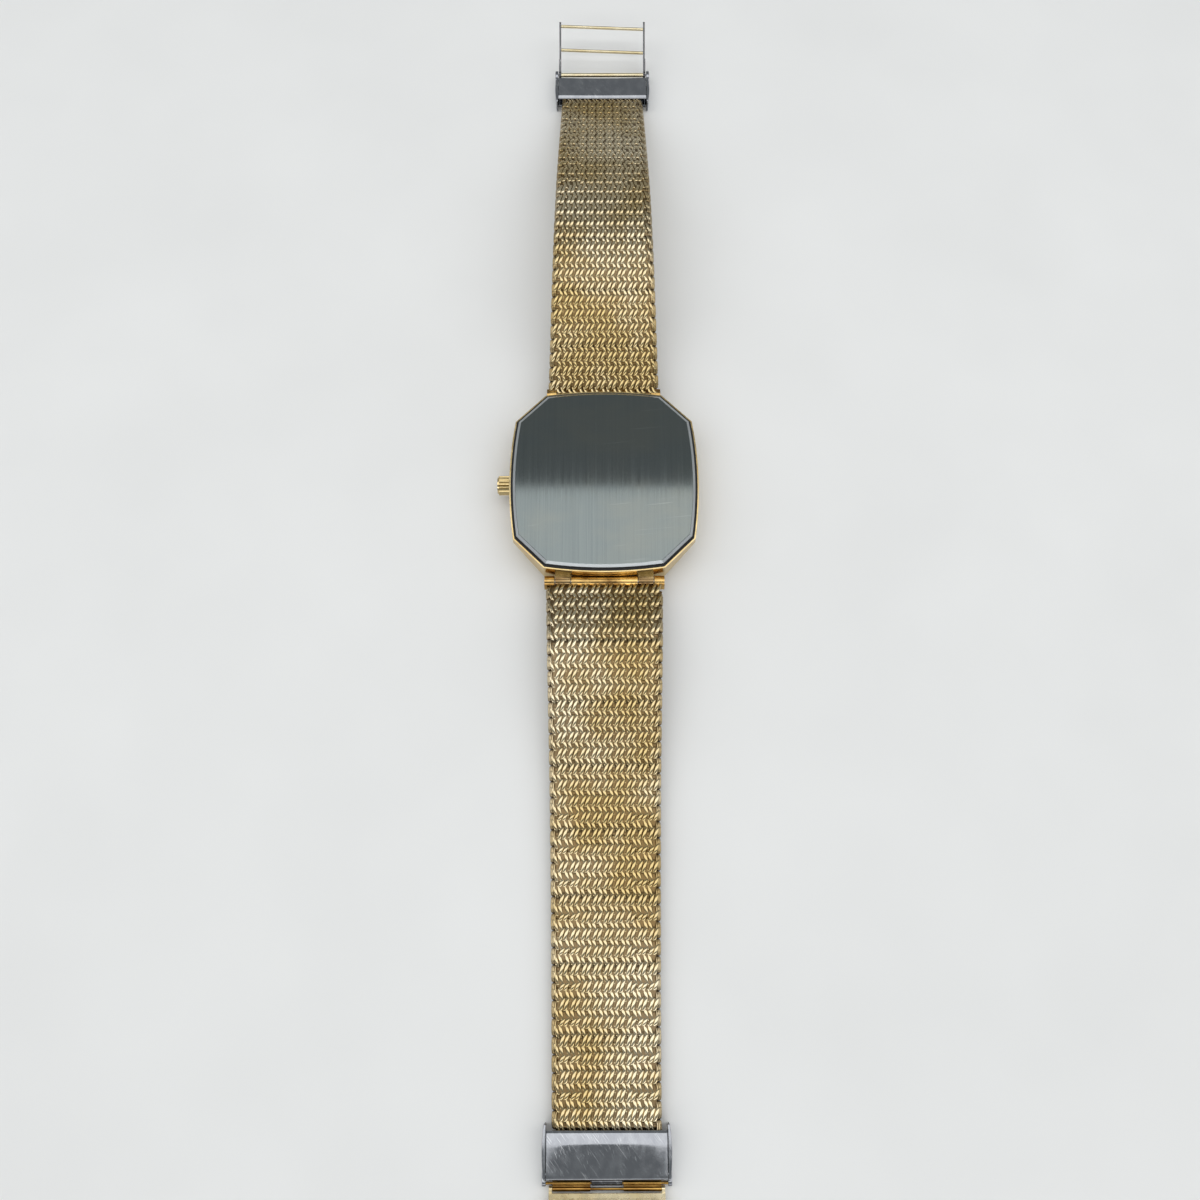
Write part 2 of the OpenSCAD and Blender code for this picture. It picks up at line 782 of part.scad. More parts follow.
module hour_wheel() {
    color(BRASS)
        difference() {
            union() {
                z_rod([0, 0], hour_tube_r, hour_hand_z, plate_z + 0.22);
                gear(hour_teeth, hour_m, hour_phase, plate_z + 0.08, wheel_t);
            }
            z_rod([0, 0], arbor_r + slack, hour_hand_z - cut, plate_z + 1);
        }
}

module minute_wheel() {
    color(BRASS)
        translate([works_pos[0], works_pos[1], 0])
            difference() {
                union() {
                    gear(minute_teeth, train_m, works_phase, plate_z + 0.31, wheel_t);
                    gear(minute_pinion_teeth, hour_m, works_phase, plate_z + 0.07, pinion_t);
                }
                z_rod([0, 0], 0.23, plate_z - cut, plate_z + 1);
            }
}

// Arbor with a pinion and a wheel, and a pivot at each end
module train_arbor(pos, pinion_m, pinion_phase, pinion_z, teeth, m, wheel_phase, wheel_z) {
    translate([pos[0], pos[1], 0]) {
        z_rod([0, 0], pivot_r, train_z - 0.2, bridge_z + bridge_t - 0.03);
        z_rod([0, 0], 0.25, train_z + 0.03, bridge_z - 0.03);
        gear(pinion_teeth, pinion_m, pinion_phase, pinion_z, pinion_t);
        gear(teeth, m, wheel_phase, wheel_z, wheel_t);
    }
}

module third_wheel() {
    color(BRASS)
        train_arbor(third_pos, train_m, third_phase, train_z + 0.06, third_teeth, third_m, third_phase,
                    train_z + 0.5);
}

module fifth_wheel() {
    color(BRASS)
        train_arbor(fifth_pos, third_m, fifth_phase, train_z + 0.44, fifth_teeth, train_m, fifth_phase,
                    train_z + 0.12);
}

module rotor() {
    color(POLISHED)
        translate([rotor_pos[0], rotor_pos[1], 0])
            union() {
                z_rod([0, 0], pivot_r, train_z - 0.2, bridge_z + bridge_t - 0.03);
                gear(pinion_teeth, train_m, rotor_phase, train_z + 0.05, pinion_t);
                z_rod([0, 0], rotor_hole_r - 0.15, train_z + 0.36, train_z + 0.72);
            }
}

// Children are drawn in a strap's own frame: +Y away from the case along the strap,
// from joint i, at that segment's slope. side is 1 at 12 o'clock and -1 at 6 o'clock.
module on_strap(side, lengths, slopes, i) {
    p = joint_at(lengths, slopes, i);
    slope = i < len(slopes) ? slopes[i] : 0;
    mirror([0, side < 0 ? 1 : 0, 0])
        translate([0, p[0], p[1]])
            rotate([slope, 0, 0])
                children();
}

// End tube in three knuckles, the case's two lugs standing between them
module end_tube() {
    half = strap_w_case / 2;
    spans = [[-half, -lug_x1 - knuckle_gap], [-lug_x0 + knuckle_gap, lug_x0 - knuckle_gap],
             [lug_x1 + knuckle_gap, half]];
    color(GOLD)
        difference() {
            union()
                for (s = spans) {
                    x_rod(s[0], s[1], [0, 0], tube_r);
                    x_box(s[0], s[1], 0, slab_start, -0.6, 0.6);
                }
            x_rod(-half - cut, half + cut, [0, 0], pin_r + slack);
        }
}

// One stiff length of the woven strap. Its near end is round about the joint behind it,
// and its far end is a socket round the joint ahead, or round where it enters the clamp.
function strap_face(points, side) = [for (p = points) [p[0], side * p[1]]];
function reversed(list) = [for (i = [len(list) - 1 : -1 : 0]) list[i]];

// Side view of a segment: a valley between every two rows of wire, on both faces
function row_profile(start, step, rows, y0) =
    let (r = strap_t / 2,
         top = concat([[y0, r - row_dip]],
                      [for (i = [0 : rows - 1])
                       for (p = [[row_slope, r], [step - row_slope, r], [step, r - row_dip]])
                       [start + i * step + p[0], p[1]]]))
    concat(strap_face(top, 1), reversed(strap_face(top, -1)));

module strap_segment(lengths, pairs, pitch, grooves, i) {
    length = lengths[i];
    whole = total(lengths);
    s0 = head(lengths, i);
    w0 = strap_w(s0, whole);
    w1 = strap_w(s0 + length, whole);
    r = strap_t / 2;
    first = i == 0;
    last = i == len(lengths) - 1;
    y0 = first ? slab_start : 0;
    color(GOLD_MESH)
        difference() {
            union() {
                intersection() {
                    translate([0, 0, -r])
                        linear_extrude(height = strap_t)
                            polygon([[-w0 / 2, y0], [w0 / 2, y0], [w1 / 2, length], [-w1 / 2, length]]);
                    rotate([90, 0, 90])
                        linear_extrude(height = 2 * strap_w_case, center = true)
                            polygon(row_profile(first ? upper_lead : 0, pitch / 2, 2 * pairs[i], y0));
                }
                if (!first)
                    x_rod(-w0 / 2 + slack, w0 / 2 - slack, [0, 0], r - seam_step);
                if (last)
                    x_rod(-w1 / 2 + slack, w1 / 2 - slack, [length, 0], r - seam_step);
            }
            if (!last)
                x_rod(-w1, w1, [length, 0], r + flex_gap);
            for (g = [1 : grooves]) {
                y = whole - 2 * g * pitch - s0;
                if (y > 1 && y < length - 1)
                    adjusting_groove(y, strap_w(s0 + y, whole));
            }
        }
}

// Two short slots pressed across the strap, one near each edge
module adjusting_groove(y, wide) {
    slot_l = 3.6;
    slot_w = 0.4;
    depth = row_dip + 0.15;
    for (sx = [-1, 1])
        translate([sx * (wide / 2 - 0.9 - slot_l / 2) - slot_l / 2, y - slot_w / 2, strap_t / 2 - depth])
            cube([slot_l, slot_w, 1]);
}

module upper_segment(i) {
    on_strap(1, UPPER_LENGTHS, UPPER_SLOPES, i)
        strap_segment(UPPER_LENGTHS, UPPER_PAIRS, upper_pair, UPPER_GROOVES, i);
}

module lower_segment(i) {
    on_strap(-1, LOWER_LENGTHS, LOWER_SLOPES, i)
        strap_segment(LOWER_LENGTHS, LOWER_PAIRS, lower_pair, LOWER_GROOVES, i);
}

module upper_end_tube() {
    on_strap(1, UPPER_LENGTHS, UPPER_SLOPES, 0)
        end_tube();
}

module lower_end_tube() {
    on_strap(-1, LOWER_LENGTHS, LOWER_SLOPES, 0)
        end_tube();
}

module at_upper_clamp() {
    on_strap(1, UPPER_LENGTHS, UPPER_SLOPES, len(UPPER_SLOPES))
        children();
}

module at_lower_clamp() {
    on_strap(-1, LOWER_LENGTHS, LOWER_SLOPES, len(LOWER_SLOPES))
        children();
}

function lock_axis(plate_l) = [plate_l - 0.3, half_h - sheet_t / 2];

// Sheet channel round the strap's end: a floor and two flanges with the lock plate's holes
module clamp_channel(plate_l) {
    y0 = -0.85;
    y1 = plate_l + 0.1;
    x_box(-clamp_w / 2, clamp_w / 2, 0.35, y1, -half_h, -half_h + sheet_t);
    for (sx = [-1, 1])
        scale([sx, 1, 1])
            difference() {
                union() {
                    x_box(flange_in, clamp_w / 2, y0, y1, -half_h, half_h);
                    x_rod(flange_in, clamp_w / 2, [y0, half_h - 0.35], 0.35);
                }
                x_rod(0, clamp_w, lock_axis(plate_l), small_bore_r);
            }
}

// Plate that presses the strap's end down, with a rolled lip and two pivots
module lock_plate(plate_l) {
    axis = lock_axis(plate_l);
    under = half_h - sheet_t;
    half = flange_in - slack;
    lip = [0.1, under];
    color(POLISHED)
        union() {
            translate([-half, 0, 0])
                rotate([90, 0, 90])
                    linear_extrude(height = 2 * half)
                        polygon(concat(
                            [for (a = [0 : 15 : 90])
                             [lip[0] + lip_run * (1 - cos(a)), lip[1] + (half_h - lip[1]) * sin(a)]],
                            [[axis[0], half_h], [axis[0], under]]));
            x_rod(-half, half, axis, sheet_t / 2);
            x_rod(-clamp_w / 2, clamp_w / 2, axis, small_pin_r);
        }
}

module upper_clamp() {
    arm_r = 0.75;
    color(STEEL)
        at_upper_clamp()
            difference() {
                union() {
                    clamp_channel(upper_plate_l);
                    for (sx = [-1, 1])
                        scale([sx, 1, 1]) {
                            x_rod(flange_in, clamp_w / 2, ladder_axis, arm_r);
                            x_box(flange_in, clamp_w / 2, upper_plate_l, ladder_axis[0],
                                  ladder_axis[1] - arm_r, ladder_axis[1] + arm_r);
                        }
                }
                x_rod(-clamp_w, clamp_w, ladder_axis, small_pin_r);
            }
}

module upper_lock_plate() {
    at_upper_clamp()
        lock_plate(upper_plate_l);
}

module ladder_pin() {
    color(POLISHED)
        at_upper_clamp()
            x_rod(-clamp_w / 2, clamp_w / 2, ladder_axis, small_pin_r);
}

module at_ladder() {
    at_upper_clamp()
        translate([0, ladder_axis[0], ladder_axis[1]])
            rotate([ladder_rise, 0, 0])
                children();
}

module ladder_rails() {
    length = ladder_bars_n * ladder_pitch + 1.1;
    color(POLISHED)
        at_ladder()
            for (sx = [-1, 1])
                scale([sx, 1, 1])
                    difference() {
                        union() {
                            x_box(ladder_half - rail_t, ladder_half - rail_step, 0, length - rail_h / 2,
                                  -rail_h / 2, rail_h / 2);
                            x_box(ladder_half - rail_t, ladder_half, 0, rail_root, -rail_h / 2, rail_h / 2);
                            x_rod(ladder_half - rail_t, ladder_half, [0, 0], rail_eye_r);
                            x_rod(ladder_half - rail_t, ladder_half - rail_step,
                                  [length - rail_h / 2, 0], rail_h / 2);
                        }
                        x_rod(0, clamp_w, [0, 0], small_bore_r);
                    }
}

module ladder_bars() {
    half = ladder_half - rail_t;
    color(POLISHED)
        at_ladder() {
            difference() {
                x_rod(-half, half, [0, 0], hinge_bar_r);
                x_rod(-clamp_w, clamp_w, [0, 0], small_bore_r);
            }
            for (i = [1 : ladder_bars_n])
                translate([0, i * ladder_pitch, 0])
                    rotate([0, 0, -bar_skew])
                        x_rod(-half, half, [0, 0], bar_r);
        }
}

module lower_clamp() {
    floor_z = -half_h;
    knuckle = 2.2;
    color(STEEL)
        at_lower_clamp()
            difference() {
                union() {
                    clamp_channel(lower_plate_l);
                    for (sx = [-1, 1])
                        scale([sx, 1, 1]) {
                            x_rod(flange_in, clamp_w / 2, link_axis, ear_r);
                            x_box(flange_in, clamp_w / 2, lower_plate_l, link_axis[0], floor_z,
                                  link_axis[1] + ear_r);
                        }
                    x_rod(-knuckle, knuckle, link_axis, barrel_r);
                    x_box(-knuckle, knuckle, lower_plate_l, link_axis[0], link_axis[1] - barrel_r,
                          link_axis[1] + 0.1);
                }
                x_rod(-clamp_w, clamp_w, link_axis, small_bore_r);
            }
}

module lower_lock_plate() {
    at_lower_clamp()
        lock_plate(lower_plate_l);
}

// Gold double barrel on each side, with the two hinge pins fixed in it
module hinge_link() {
    x0 = 2.35;
    x1 = cover_w / 2 - 0.5;
    color(GOLD)
        at_lower_clamp()
            union() {
                for (sx = [-1, 1])
                    scale([sx, 1, 1]) {
                        x_rod(x0, x1, link_axis, barrel_r);
                        x_rod(x0, x1, cover_axis, barrel_r);
                        x_box(x0, x1, link_axis[0], cover_axis[0], link_axis[1] - 0.12, link_axis[1] + 0.12);
                    }
                x_rod(-clamp_w / 2, clamp_w / 2, link_axis, small_pin_r);
                x_rod(-cover_w / 2, cover_w / 2, cover_axis, small_pin_r);
            }
}

// Gold cover: a fluted top over two side walls, with an ear each side for the hinge pin
module clasp_cover() {
    half = cover_w / 2;
    y0 = cover_axis[0] + ear_r;
    top = cover_bottom + cover_h;
    plain = 0.8;
    flat = 0.6;
    flutes = floor((cover_w - 2 * plain) / flute_pitch);
    edge = flutes * flute_pitch / 2;
    depth = 0.16;
    color(GOLD)
        at_lower_clamp()
            difference() {
                union() {
                    x_box(-half, half, y0, y0 + flat, top - 0.7, top);
                    translate([0, y0 + cover_l, 0])
                        rotate([90, 0, 0])
                            linear_extrude(height = cover_l - flat)
                                polygon(concat(
                                    [[half, top - 0.7], [half, top], [edge, top]],
                                    [for (i = [0 : flutes - 1])
                                     for (k = [0.5, 1])
                                     [edge - (i + k) * flute_pitch, top - (k == 0.5 ? depth : 0)]],
                                    [[-half, top], [-half, top - 0.7]]));
                    for (sx = [-1, 1])
                        scale([sx, 1, 1]) {
                            x_box(half - 0.45, half, cover_axis[0], y0 + cover_l, cover_bottom, top - 0.6);
                            x_rod(half - 0.45, half, cover_axis, ear_r);
                        }
                    x_box(-half, half, y0 + cover_l - 0.5, y0 + cover_l, cover_bottom, top - 0.6);
                }
                x_rod(-clamp_w, clamp_w, cover_axis, small_bore_r);
            }
}

// Steel liner inside the cover, with the hook that catches a ladder bar
module cover_liner() {
    half = cover_w / 2 - 0.45;
    y0 = cover_axis[0] + ear_r + 0.3;
    y1 = cover_axis[0] + ear_r + cover_l - 0.5;
    z1 = cover_bottom + cover_h - 0.7;
    color(STEEL)
        at_lower_clamp()
            union() {
                x_box(-half, half, y0, y1, z1 - 0.4, z1);
                x_box(-half + 2, half - 2, y1 - 4, y1 - 3.5, cover_bottom - 0.3, z1 - 0.2);
                x_box(-half + 2, half - 2, y1 - 4.8, y1 - 3.5, cover_bottom - 0.3, cover_bottom);
            }
}

case_body();
case_back();
back_gasket();
crystal();
crystal_gasket();
dial_ring();
dial();
hour_markers();
crown_tube();
movement_holder();
main_plate();
train_bridge();
circuit_board();
control_chip();
quartz_can();
drive_coil();
stator();
battery();
battery_clamp();
movement_screws();
strap_pins();
minute_hand();
centre_wheel();
hour_hand();
hour_wheel();
minute_wheel();
third_wheel();
fifth_wheel();
rotor();
crown();
stem();
crown_gasket();
setting_lever();
upper_end_tube();
for (i = [0 : len(UPPER_PAIRS) - 1])
    upper_segment(i);
upper_clamp();
upper_lock_plate();
ladder_pin();
ladder_rails();
ladder_bars();
lower_end_tube();
for (i = [0 : len(LOWER_PAIRS) - 1])
    lower_segment(i);
lower_clamp();
lower_lock_plate();
hinge_link();
clasp_cover();
cover_liner();
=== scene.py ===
"""Looks of the dress watch: woven gold strap, brushed back, polished clasp and plated case.

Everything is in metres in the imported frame: the watch lies face down, +Z out of the case back,
+Y along the strap towards 12 o'clock. The strap's rows of wire follow the strap joints' places.
"""

import json
import math

import bpy
import numpy as np
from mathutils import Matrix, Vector

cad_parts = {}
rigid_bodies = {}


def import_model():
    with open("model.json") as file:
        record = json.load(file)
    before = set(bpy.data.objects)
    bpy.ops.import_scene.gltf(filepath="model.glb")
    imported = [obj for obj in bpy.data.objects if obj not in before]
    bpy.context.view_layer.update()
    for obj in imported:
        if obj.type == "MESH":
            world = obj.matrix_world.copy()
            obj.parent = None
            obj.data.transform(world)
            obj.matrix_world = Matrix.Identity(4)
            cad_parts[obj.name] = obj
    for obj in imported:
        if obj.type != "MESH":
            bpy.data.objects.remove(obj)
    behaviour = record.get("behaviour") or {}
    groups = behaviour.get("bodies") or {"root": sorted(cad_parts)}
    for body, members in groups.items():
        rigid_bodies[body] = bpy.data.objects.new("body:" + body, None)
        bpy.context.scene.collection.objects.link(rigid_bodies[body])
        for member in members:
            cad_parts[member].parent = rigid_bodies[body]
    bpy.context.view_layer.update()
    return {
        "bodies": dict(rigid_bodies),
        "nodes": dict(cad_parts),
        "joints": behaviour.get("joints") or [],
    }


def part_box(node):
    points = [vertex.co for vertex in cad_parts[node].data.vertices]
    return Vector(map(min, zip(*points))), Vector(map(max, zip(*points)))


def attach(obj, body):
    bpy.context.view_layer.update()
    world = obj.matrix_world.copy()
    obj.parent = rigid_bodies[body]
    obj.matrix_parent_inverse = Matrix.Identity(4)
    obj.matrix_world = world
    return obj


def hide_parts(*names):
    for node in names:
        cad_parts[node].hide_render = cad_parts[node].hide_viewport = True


MM = 0.001
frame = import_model()
NODES = frame["nodes"]
JOINTS = {joint["name"]: joint for joint in frame["joints"]}

# Camera, from the photograph's geometry
CAMERA_AT = (-0.93 * MM, -89.0 * MM, 188.4 * MM)
CAMERA_TILT = math.radians(20.25)
CAMERA_YAW = math.radians(-0.16)
CAMERA_LENS = 36.0
SENSOR = 36.0

# Case: heights of the back's outer face and of the bevel round it, which is painted lighter as a
# painted highlight, and a dark brown band at a distance from the case's middle, near the strap's end
# tubes
BACK_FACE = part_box("case_back")[1].z
BEVEL_LOW = BACK_FACE - 0.05 * MM
BEVEL_HIGH = BACK_FACE - 0.015 * MM
BROWN_BAND_MIDDLE = 18 * MM
BROWN_BAND_FULL = 0.95 * MM
BROWN_BAND_END = 1.15 * MM

# Strap weave: the straps' sizes, the length of a pair of rows, where the rows start, and each row's
# flat coil of wires
STRAP_T = 1.7 * MM
UPPER_PAIR = 2.45 * MM
LOWER_PAIR = 2.5 * MM
STRAP_LEAD = 1.2 * MM
UPPER_START = 0.4 * MM
LOWER_START = 0.85 * MM
STRAP_W_CASE = 19.8 * MM
STRAP_W_CLASP = 16.2 * MM
TAPER_BEND = 0.45
CURVE_POINTS = 13
SAME_PLACE = 1e-7
TURNS = 9
WIRES = 2
WIRE_R = 0.33 * MM
WIRE_FLAT = 0.46
WIRE_STEP = 0.395
WIRE_SKEW = 0.04
ROW_REACH = 2.75 * MM
ROW_POWER = 0.44
ROW_SINK = 0.1 * MM
WOBBLE = 0.02 * MM
TURN_POINTS = 12
WIRE_SIDES = 6
# SIDE_DEPTH and BEND_DEPTH set the depth value that paints the wires darker on their sides and at
# their bends, as painted shade
SIDE_DEPTH = 0.9
BEND_DEPTH = 0.25
TUBE_R = 1.0 * MM
HUG_R = 0.94 * MM

# Loops at the strap's edges. Each goes through points at shares of its reach, and its ends tuck in.
EDGE_BAND = 0.92 * MM
EDGE_R = 0.8 * MM
LOOP_GAP = 0.09 * MM
LOOP_ALONG = np.array([-1.0, -0.88, -0.5, 0.0, 0.5, 0.88, 1.0])
LOOP_TUCK = np.array([0.5, 0.12, 0.0, 0.0, 0.0, 0.12, 0.5])
LOOP_ANGLES = np.radians([88, 54, 18, -18, -54, -88])
TUCK_IN = 0.5 * MM
TUCK_DOWN = 0.6
LOOP_WIRE = 0.85
# LOOP_DEPTH sets the depth value that paints the edge loops darker, and their tucked ends more, as
# painted shade
LOOP_DEPTH = 0.3

# Inside of the weave: half of its outline, in shares of half its width and thickness
CORE_T = 1.43 * MM
CORE_WAIST = 0.25
CORE_GAP = 0.1 * MM
# CORE_SHADE is the depth value that paints the inside of the weave dark brown, as painted shade
CORE_SHADE = 0.6
CORE_TOP = [(1, 0.6), (0.97, 1), (0.9, 1), (-0.9, 1), (-0.97, 1), (-1, 0.6)]

# Adjusting slots pressed across the strap near both edges
UPPER_GROOVES = 6
LOWER_GROOVES = 9
GROOVE_ROWS = 4
PRESS = 0.4
PRESS_DOWN = 0.04 * MM
SPREAD = 0.15
GROOVE_IN = 0.95 * MM
GROOVE_OUT = 4.6 * MM
GROOVE_SLOPE = 0.25 * MM

# End clamps, in their own measures: y along the clamp from the strap's end, z up from its middle.
# A tail is how much further back the plate and the flanges reach than the floor. The plate's dome
# sinks the more the further back it is, in its middle, and rises again towards its sides.
CLAMP_HALF_W = 9.2 * MM
CLAMP_HALF_H = 1.45 * MM
CLAMP_FRONT = -0.85 * MM
CLAMP_AFTER_PIVOT = 0.4 * MM
FLANGE_INSIDE = 8.65 * MM
FLANGE_OUTSIDE = 9.0 * MM
FLANGE_BULGE = 0.28 * MM
CHANNEL_FRONT = 0.35 * MM
CHANNEL_EDGE_R = 0.08 * MM
FLANGE_END_R = 0.3 * MM
FLANGE_EDGE_R = 0.11 * MM
FLANGE_THINNING = 0.2
SHEET_T = 0.5 * MM
PLATE_HALF = 8.6 * MM
PLATE_EDGE_R = 0.1 * MM
PLATE_SINK = 0.05 * MM
DOME = 0.13 * MM
DOME_RISE = 1.5
DOME_FALL = 1.38
LIP_AT = 0.1 * MM
LIP_RUN = 1.9 * MM
UPPER_TAIL = 0.0 * MM
LOWER_TAIL = 0.55 * MM
PIN_R = 0.2 * MM
PIN_EDGE_R = 0.06 * MM
PIN_IN = PLATE_HALF - 0.2 * MM
PIN_OUT = FLANGE_OUTSIDE - 0.05 * MM
EAR_EDGE_R = 0.1 * MM
LADDER_ARM_R = 0.75 * MM
LINK_ARM_R = 0.45 * MM
KNUCKLE_HALF = 2.2 * MM
KNUCKLE_R = 0.33 * MM
QUARTER = np.radians([0, 22.5, 45, 67.5, 90])

# Studio, in metres: the floor is flat as far as FLOOR_FLAT and curves up from there
FLOOR_RINGS = [0.0, 0.4, 0.8, 1.2, 1.3, 1.4, 1.5, 1.6, 1.7, 1.8, 1.9, 2.0, 2.1, 2.2, 2.3, 2.4]
FLOOR_SPOKES = 72
FLOOR_FLAT = 1.2
FLOOR_RISE = 0.7
FLOOR_CURVE = 1.7
WORLD_COLOR = (0.93, 0.98, 1.0, 1)
WORLD_LEVEL = 0.34

# Lamps: name, place, the point they face, width and length, watts
LAMPS = [
    ("softbox", (0, 0.069, 0.6), (0, 0.069, 0), (2.8, 0.428), 5.2),
    ("front_strip", (0, -0.72, 0.6), (0, -0.05, 0), (2.0, 0.22), 3.0),
    ("side_panel", (-1.1, 0.2, 0.4), (0, 0.2, 0.4), (1.6, 0.5), 0.35),
    ("side_panel", (1.1, 0.2, 0.4), (0, 0.2, 0.4), (1.6, 0.5), 0.35),
]


def srgb(*rgb):
    """Linear colour of an 8-bit sRGB one"""
    out = []
    for c in rgb:
        c = c / 255
        out.append(c / 12.92 if c <= 0.04045 else ((c + 0.055) / 1.055) ** 2.4)
    return (*out, 1.0)


# Materials

class Shader:
    """A node material with one Principled shader and short calls to build its inputs"""

    def __init__(self, name, **sockets):
        self.material = bpy.data.materials.new(name)
        self.material.use_nodes = True
        self.tree = self.material.node_tree
        self.bsdf = self.tree.nodes["Principled BSDF"]
        for key, value in sockets.items():
            self.bsdf.inputs[key.replace("_", " ")].default_value = value
        self.place = self.node("ShaderNodeTexCoord").outputs["Object"]

    def node(self, kind, **settings):
        node = self.tree.nodes.new(kind)
        for key, value in settings.items():
            setattr(node, key, value)
        return node

    def link(self, source, target):
        self.tree.links.new(source, target)

    def stretched(self, scale, turn=0):
        """Object coordinates scaled on each axis, after a turn in degrees about Z"""
        place = self.place
        if turn:
            turned = self.node("ShaderNodeMapping")
            turned.inputs["Rotation"].default_value = (0, 0, math.radians(turn))
            self.link(place, turned.inputs["Vector"])
            place = turned.outputs["Vector"]
        mapping = self.node("ShaderNodeMapping")
        mapping.inputs["Scale"].default_value = scale
        self.link(place, mapping.inputs["Vector"])
        return mapping.outputs["Vector"]

    def noise(self, scale, detail=3, turn=0, rough=0.55):
        tex = self.node("ShaderNodeTexNoise")
        tex.inputs["Scale"].default_value = 1.0
        tex.inputs["Detail"].default_value = detail
        tex.inputs["Roughness"].default_value = rough
        self.link(self.stretched(scale, turn), tex.inputs["Vector"])
        return tex.outputs["Fac"]

    def hairlines(self, degrees, along, across, level=0.62):
        """Thin straight scratches, turned by degrees from the Y axis: 0 to 1"""
        field = self.noise((across, along, along), 1, degrees, 0.3)
        return self.ramp(field, 0, 1, level, level + 0.06)

    def ramp(self, source, low, high, from_min=0.3, from_max=0.7):
        """Maps a value from one span to another"""
        node = self.node("ShaderNodeMapRange")
        node.inputs["From Min"].default_value = from_min
        node.inputs["From Max"].default_value = from_max
        node.inputs["To Min"].default_value = low
        node.inputs["To Max"].default_value = high
        self.link(source, node.inputs["Value"])
        return node.outputs["Result"]

    def mix(self, factor, first, second):
        """Mixes two colours, each a colour or a socket"""
        node = self.node("ShaderNodeMix", data_type="RGBA")
        self.link(factor, node.inputs["Factor"])
        for socket, value in ((node.inputs[6], first), (node.inputs[7], second)):
            if isinstance(value, bpy.types.NodeSocket):
                self.link(value, socket)
            else:
                socket.default_value = value
        return node.outputs[2]

    def maths(self, operation, first, second):
        node = self.node("ShaderNodeMath", operation=operation)
        for socket, value in zip(node.inputs, (first, second)):
            if isinstance(value, bpy.types.NodeSocket):
                self.link(value, socket)
            else:
                socket.default_value = value
        return node.outputs[0]

    def color(self, source):
        self.link(source, self.bsdf.inputs["Base Color"])

    def roughness(self, source):
        self.link(source, self.bsdf.inputs["Roughness"])

    def bump(self, height, distance, strength=1.0, under=None):
        node = self.node("ShaderNodeBump")
        node.inputs["Strength"].default_value = strength
        node.inputs["Distance"].default_value = distance
        self.link(height, node.inputs["Height"])
        if under is not None:
            self.link(under, node.inputs["Normal"])
        self.link(node.outputs["Normal"], self.bsdf.inputs["Normal"])
        return node.outputs["Normal"]


PLATE_BRIGHT = srgb(218, 197, 148)
PLATE_DULL = srgb(200, 172, 118)


def plated_gold(name, bright, dull, rough=(0.1, 0.24)):
    """Gold plating, duller in clouds, with fine marks of polishing"""
    s = Shader(name, Metallic=1.0)
    tarnish = s.noise((260, 260, 260), 4)
    s.color(s.mix(s.ramp(tarnish, 0, 1), bright, dull))
    s.roughness(s.ramp(s.noise((900, 900, 900), 3), *rough))
    s.bump(s.noise((4000, 1500, 4000), 2), 0.003 * MM)
    return s.material


def case_gold():
    """Plated gold, turned dark brown in a band near the strap's end tubes, unevenly in clouds"""
    s = Shader("case_gold", Metallic=1.0)
    split = s.node("ShaderNodeSeparateXYZ")
    s.link(s.place, split.inputs[0])
    off = s.maths("SUBTRACT", s.maths("ABSOLUTE", split.outputs["Y"], 0), BROWN_BAND_MIDDLE)
    band = s.ramp(s.maths("ABSOLUTE", off, 0), 1, 0, BROWN_BAND_FULL, BROWN_BAND_END)
    # Dark brown band near the strap's end tubes, uneven in clouds
    brown_band = s.maths("MULTIPLY", band, s.ramp(s.noise((260, 200, 260), 3), 0.5, 1))
    plate = s.mix(s.ramp(s.noise((260, 260, 260), 4), 0, 1), PLATE_BRIGHT, PLATE_DULL)
    s.color(s.mix(brown_band, plate, srgb(94, 58, 28)))
    s.roughness(s.ramp(s.noise((900, 900, 900), 3), 0.1, 0.24))
    s.bump(s.noise((4000, 1500, 4000), 2), 0.003 * MM)
    return s.material


def woven_gold():
    """Wire gold, its tone varying at random; the depth value paints it darker and browner on the
    wires' sides and bends, at the edge loops and inside the weave, as painted shade
    """
    s = Shader("woven_gold", Metallic=1.0)
    depth = s.node("ShaderNodeAttribute", attribute_name="depth").outputs["Fac"]
    tint = s.noise((70, 60, 70), 3)
    unshaded_gold = s.mix(s.ramp(tint, 0, 1, 0.4, 0.6), srgb(222, 208, 176), srgb(198, 175, 124))
    # Painted shade: the colour runs from the lighter gold to dark brown as the depth value rises
    s.color(s.mix(s.ramp(depth, 0, 1, 0.06, 0.7), unshaded_gold, srgb(100, 76, 44)))
    s.roughness(s.ramp(depth, 0.07, 0.5, 0.1, 1.0))
    s.bump(s.noise((9000, 9000, 9000), 2), 0.003 * MM)
    return s.material


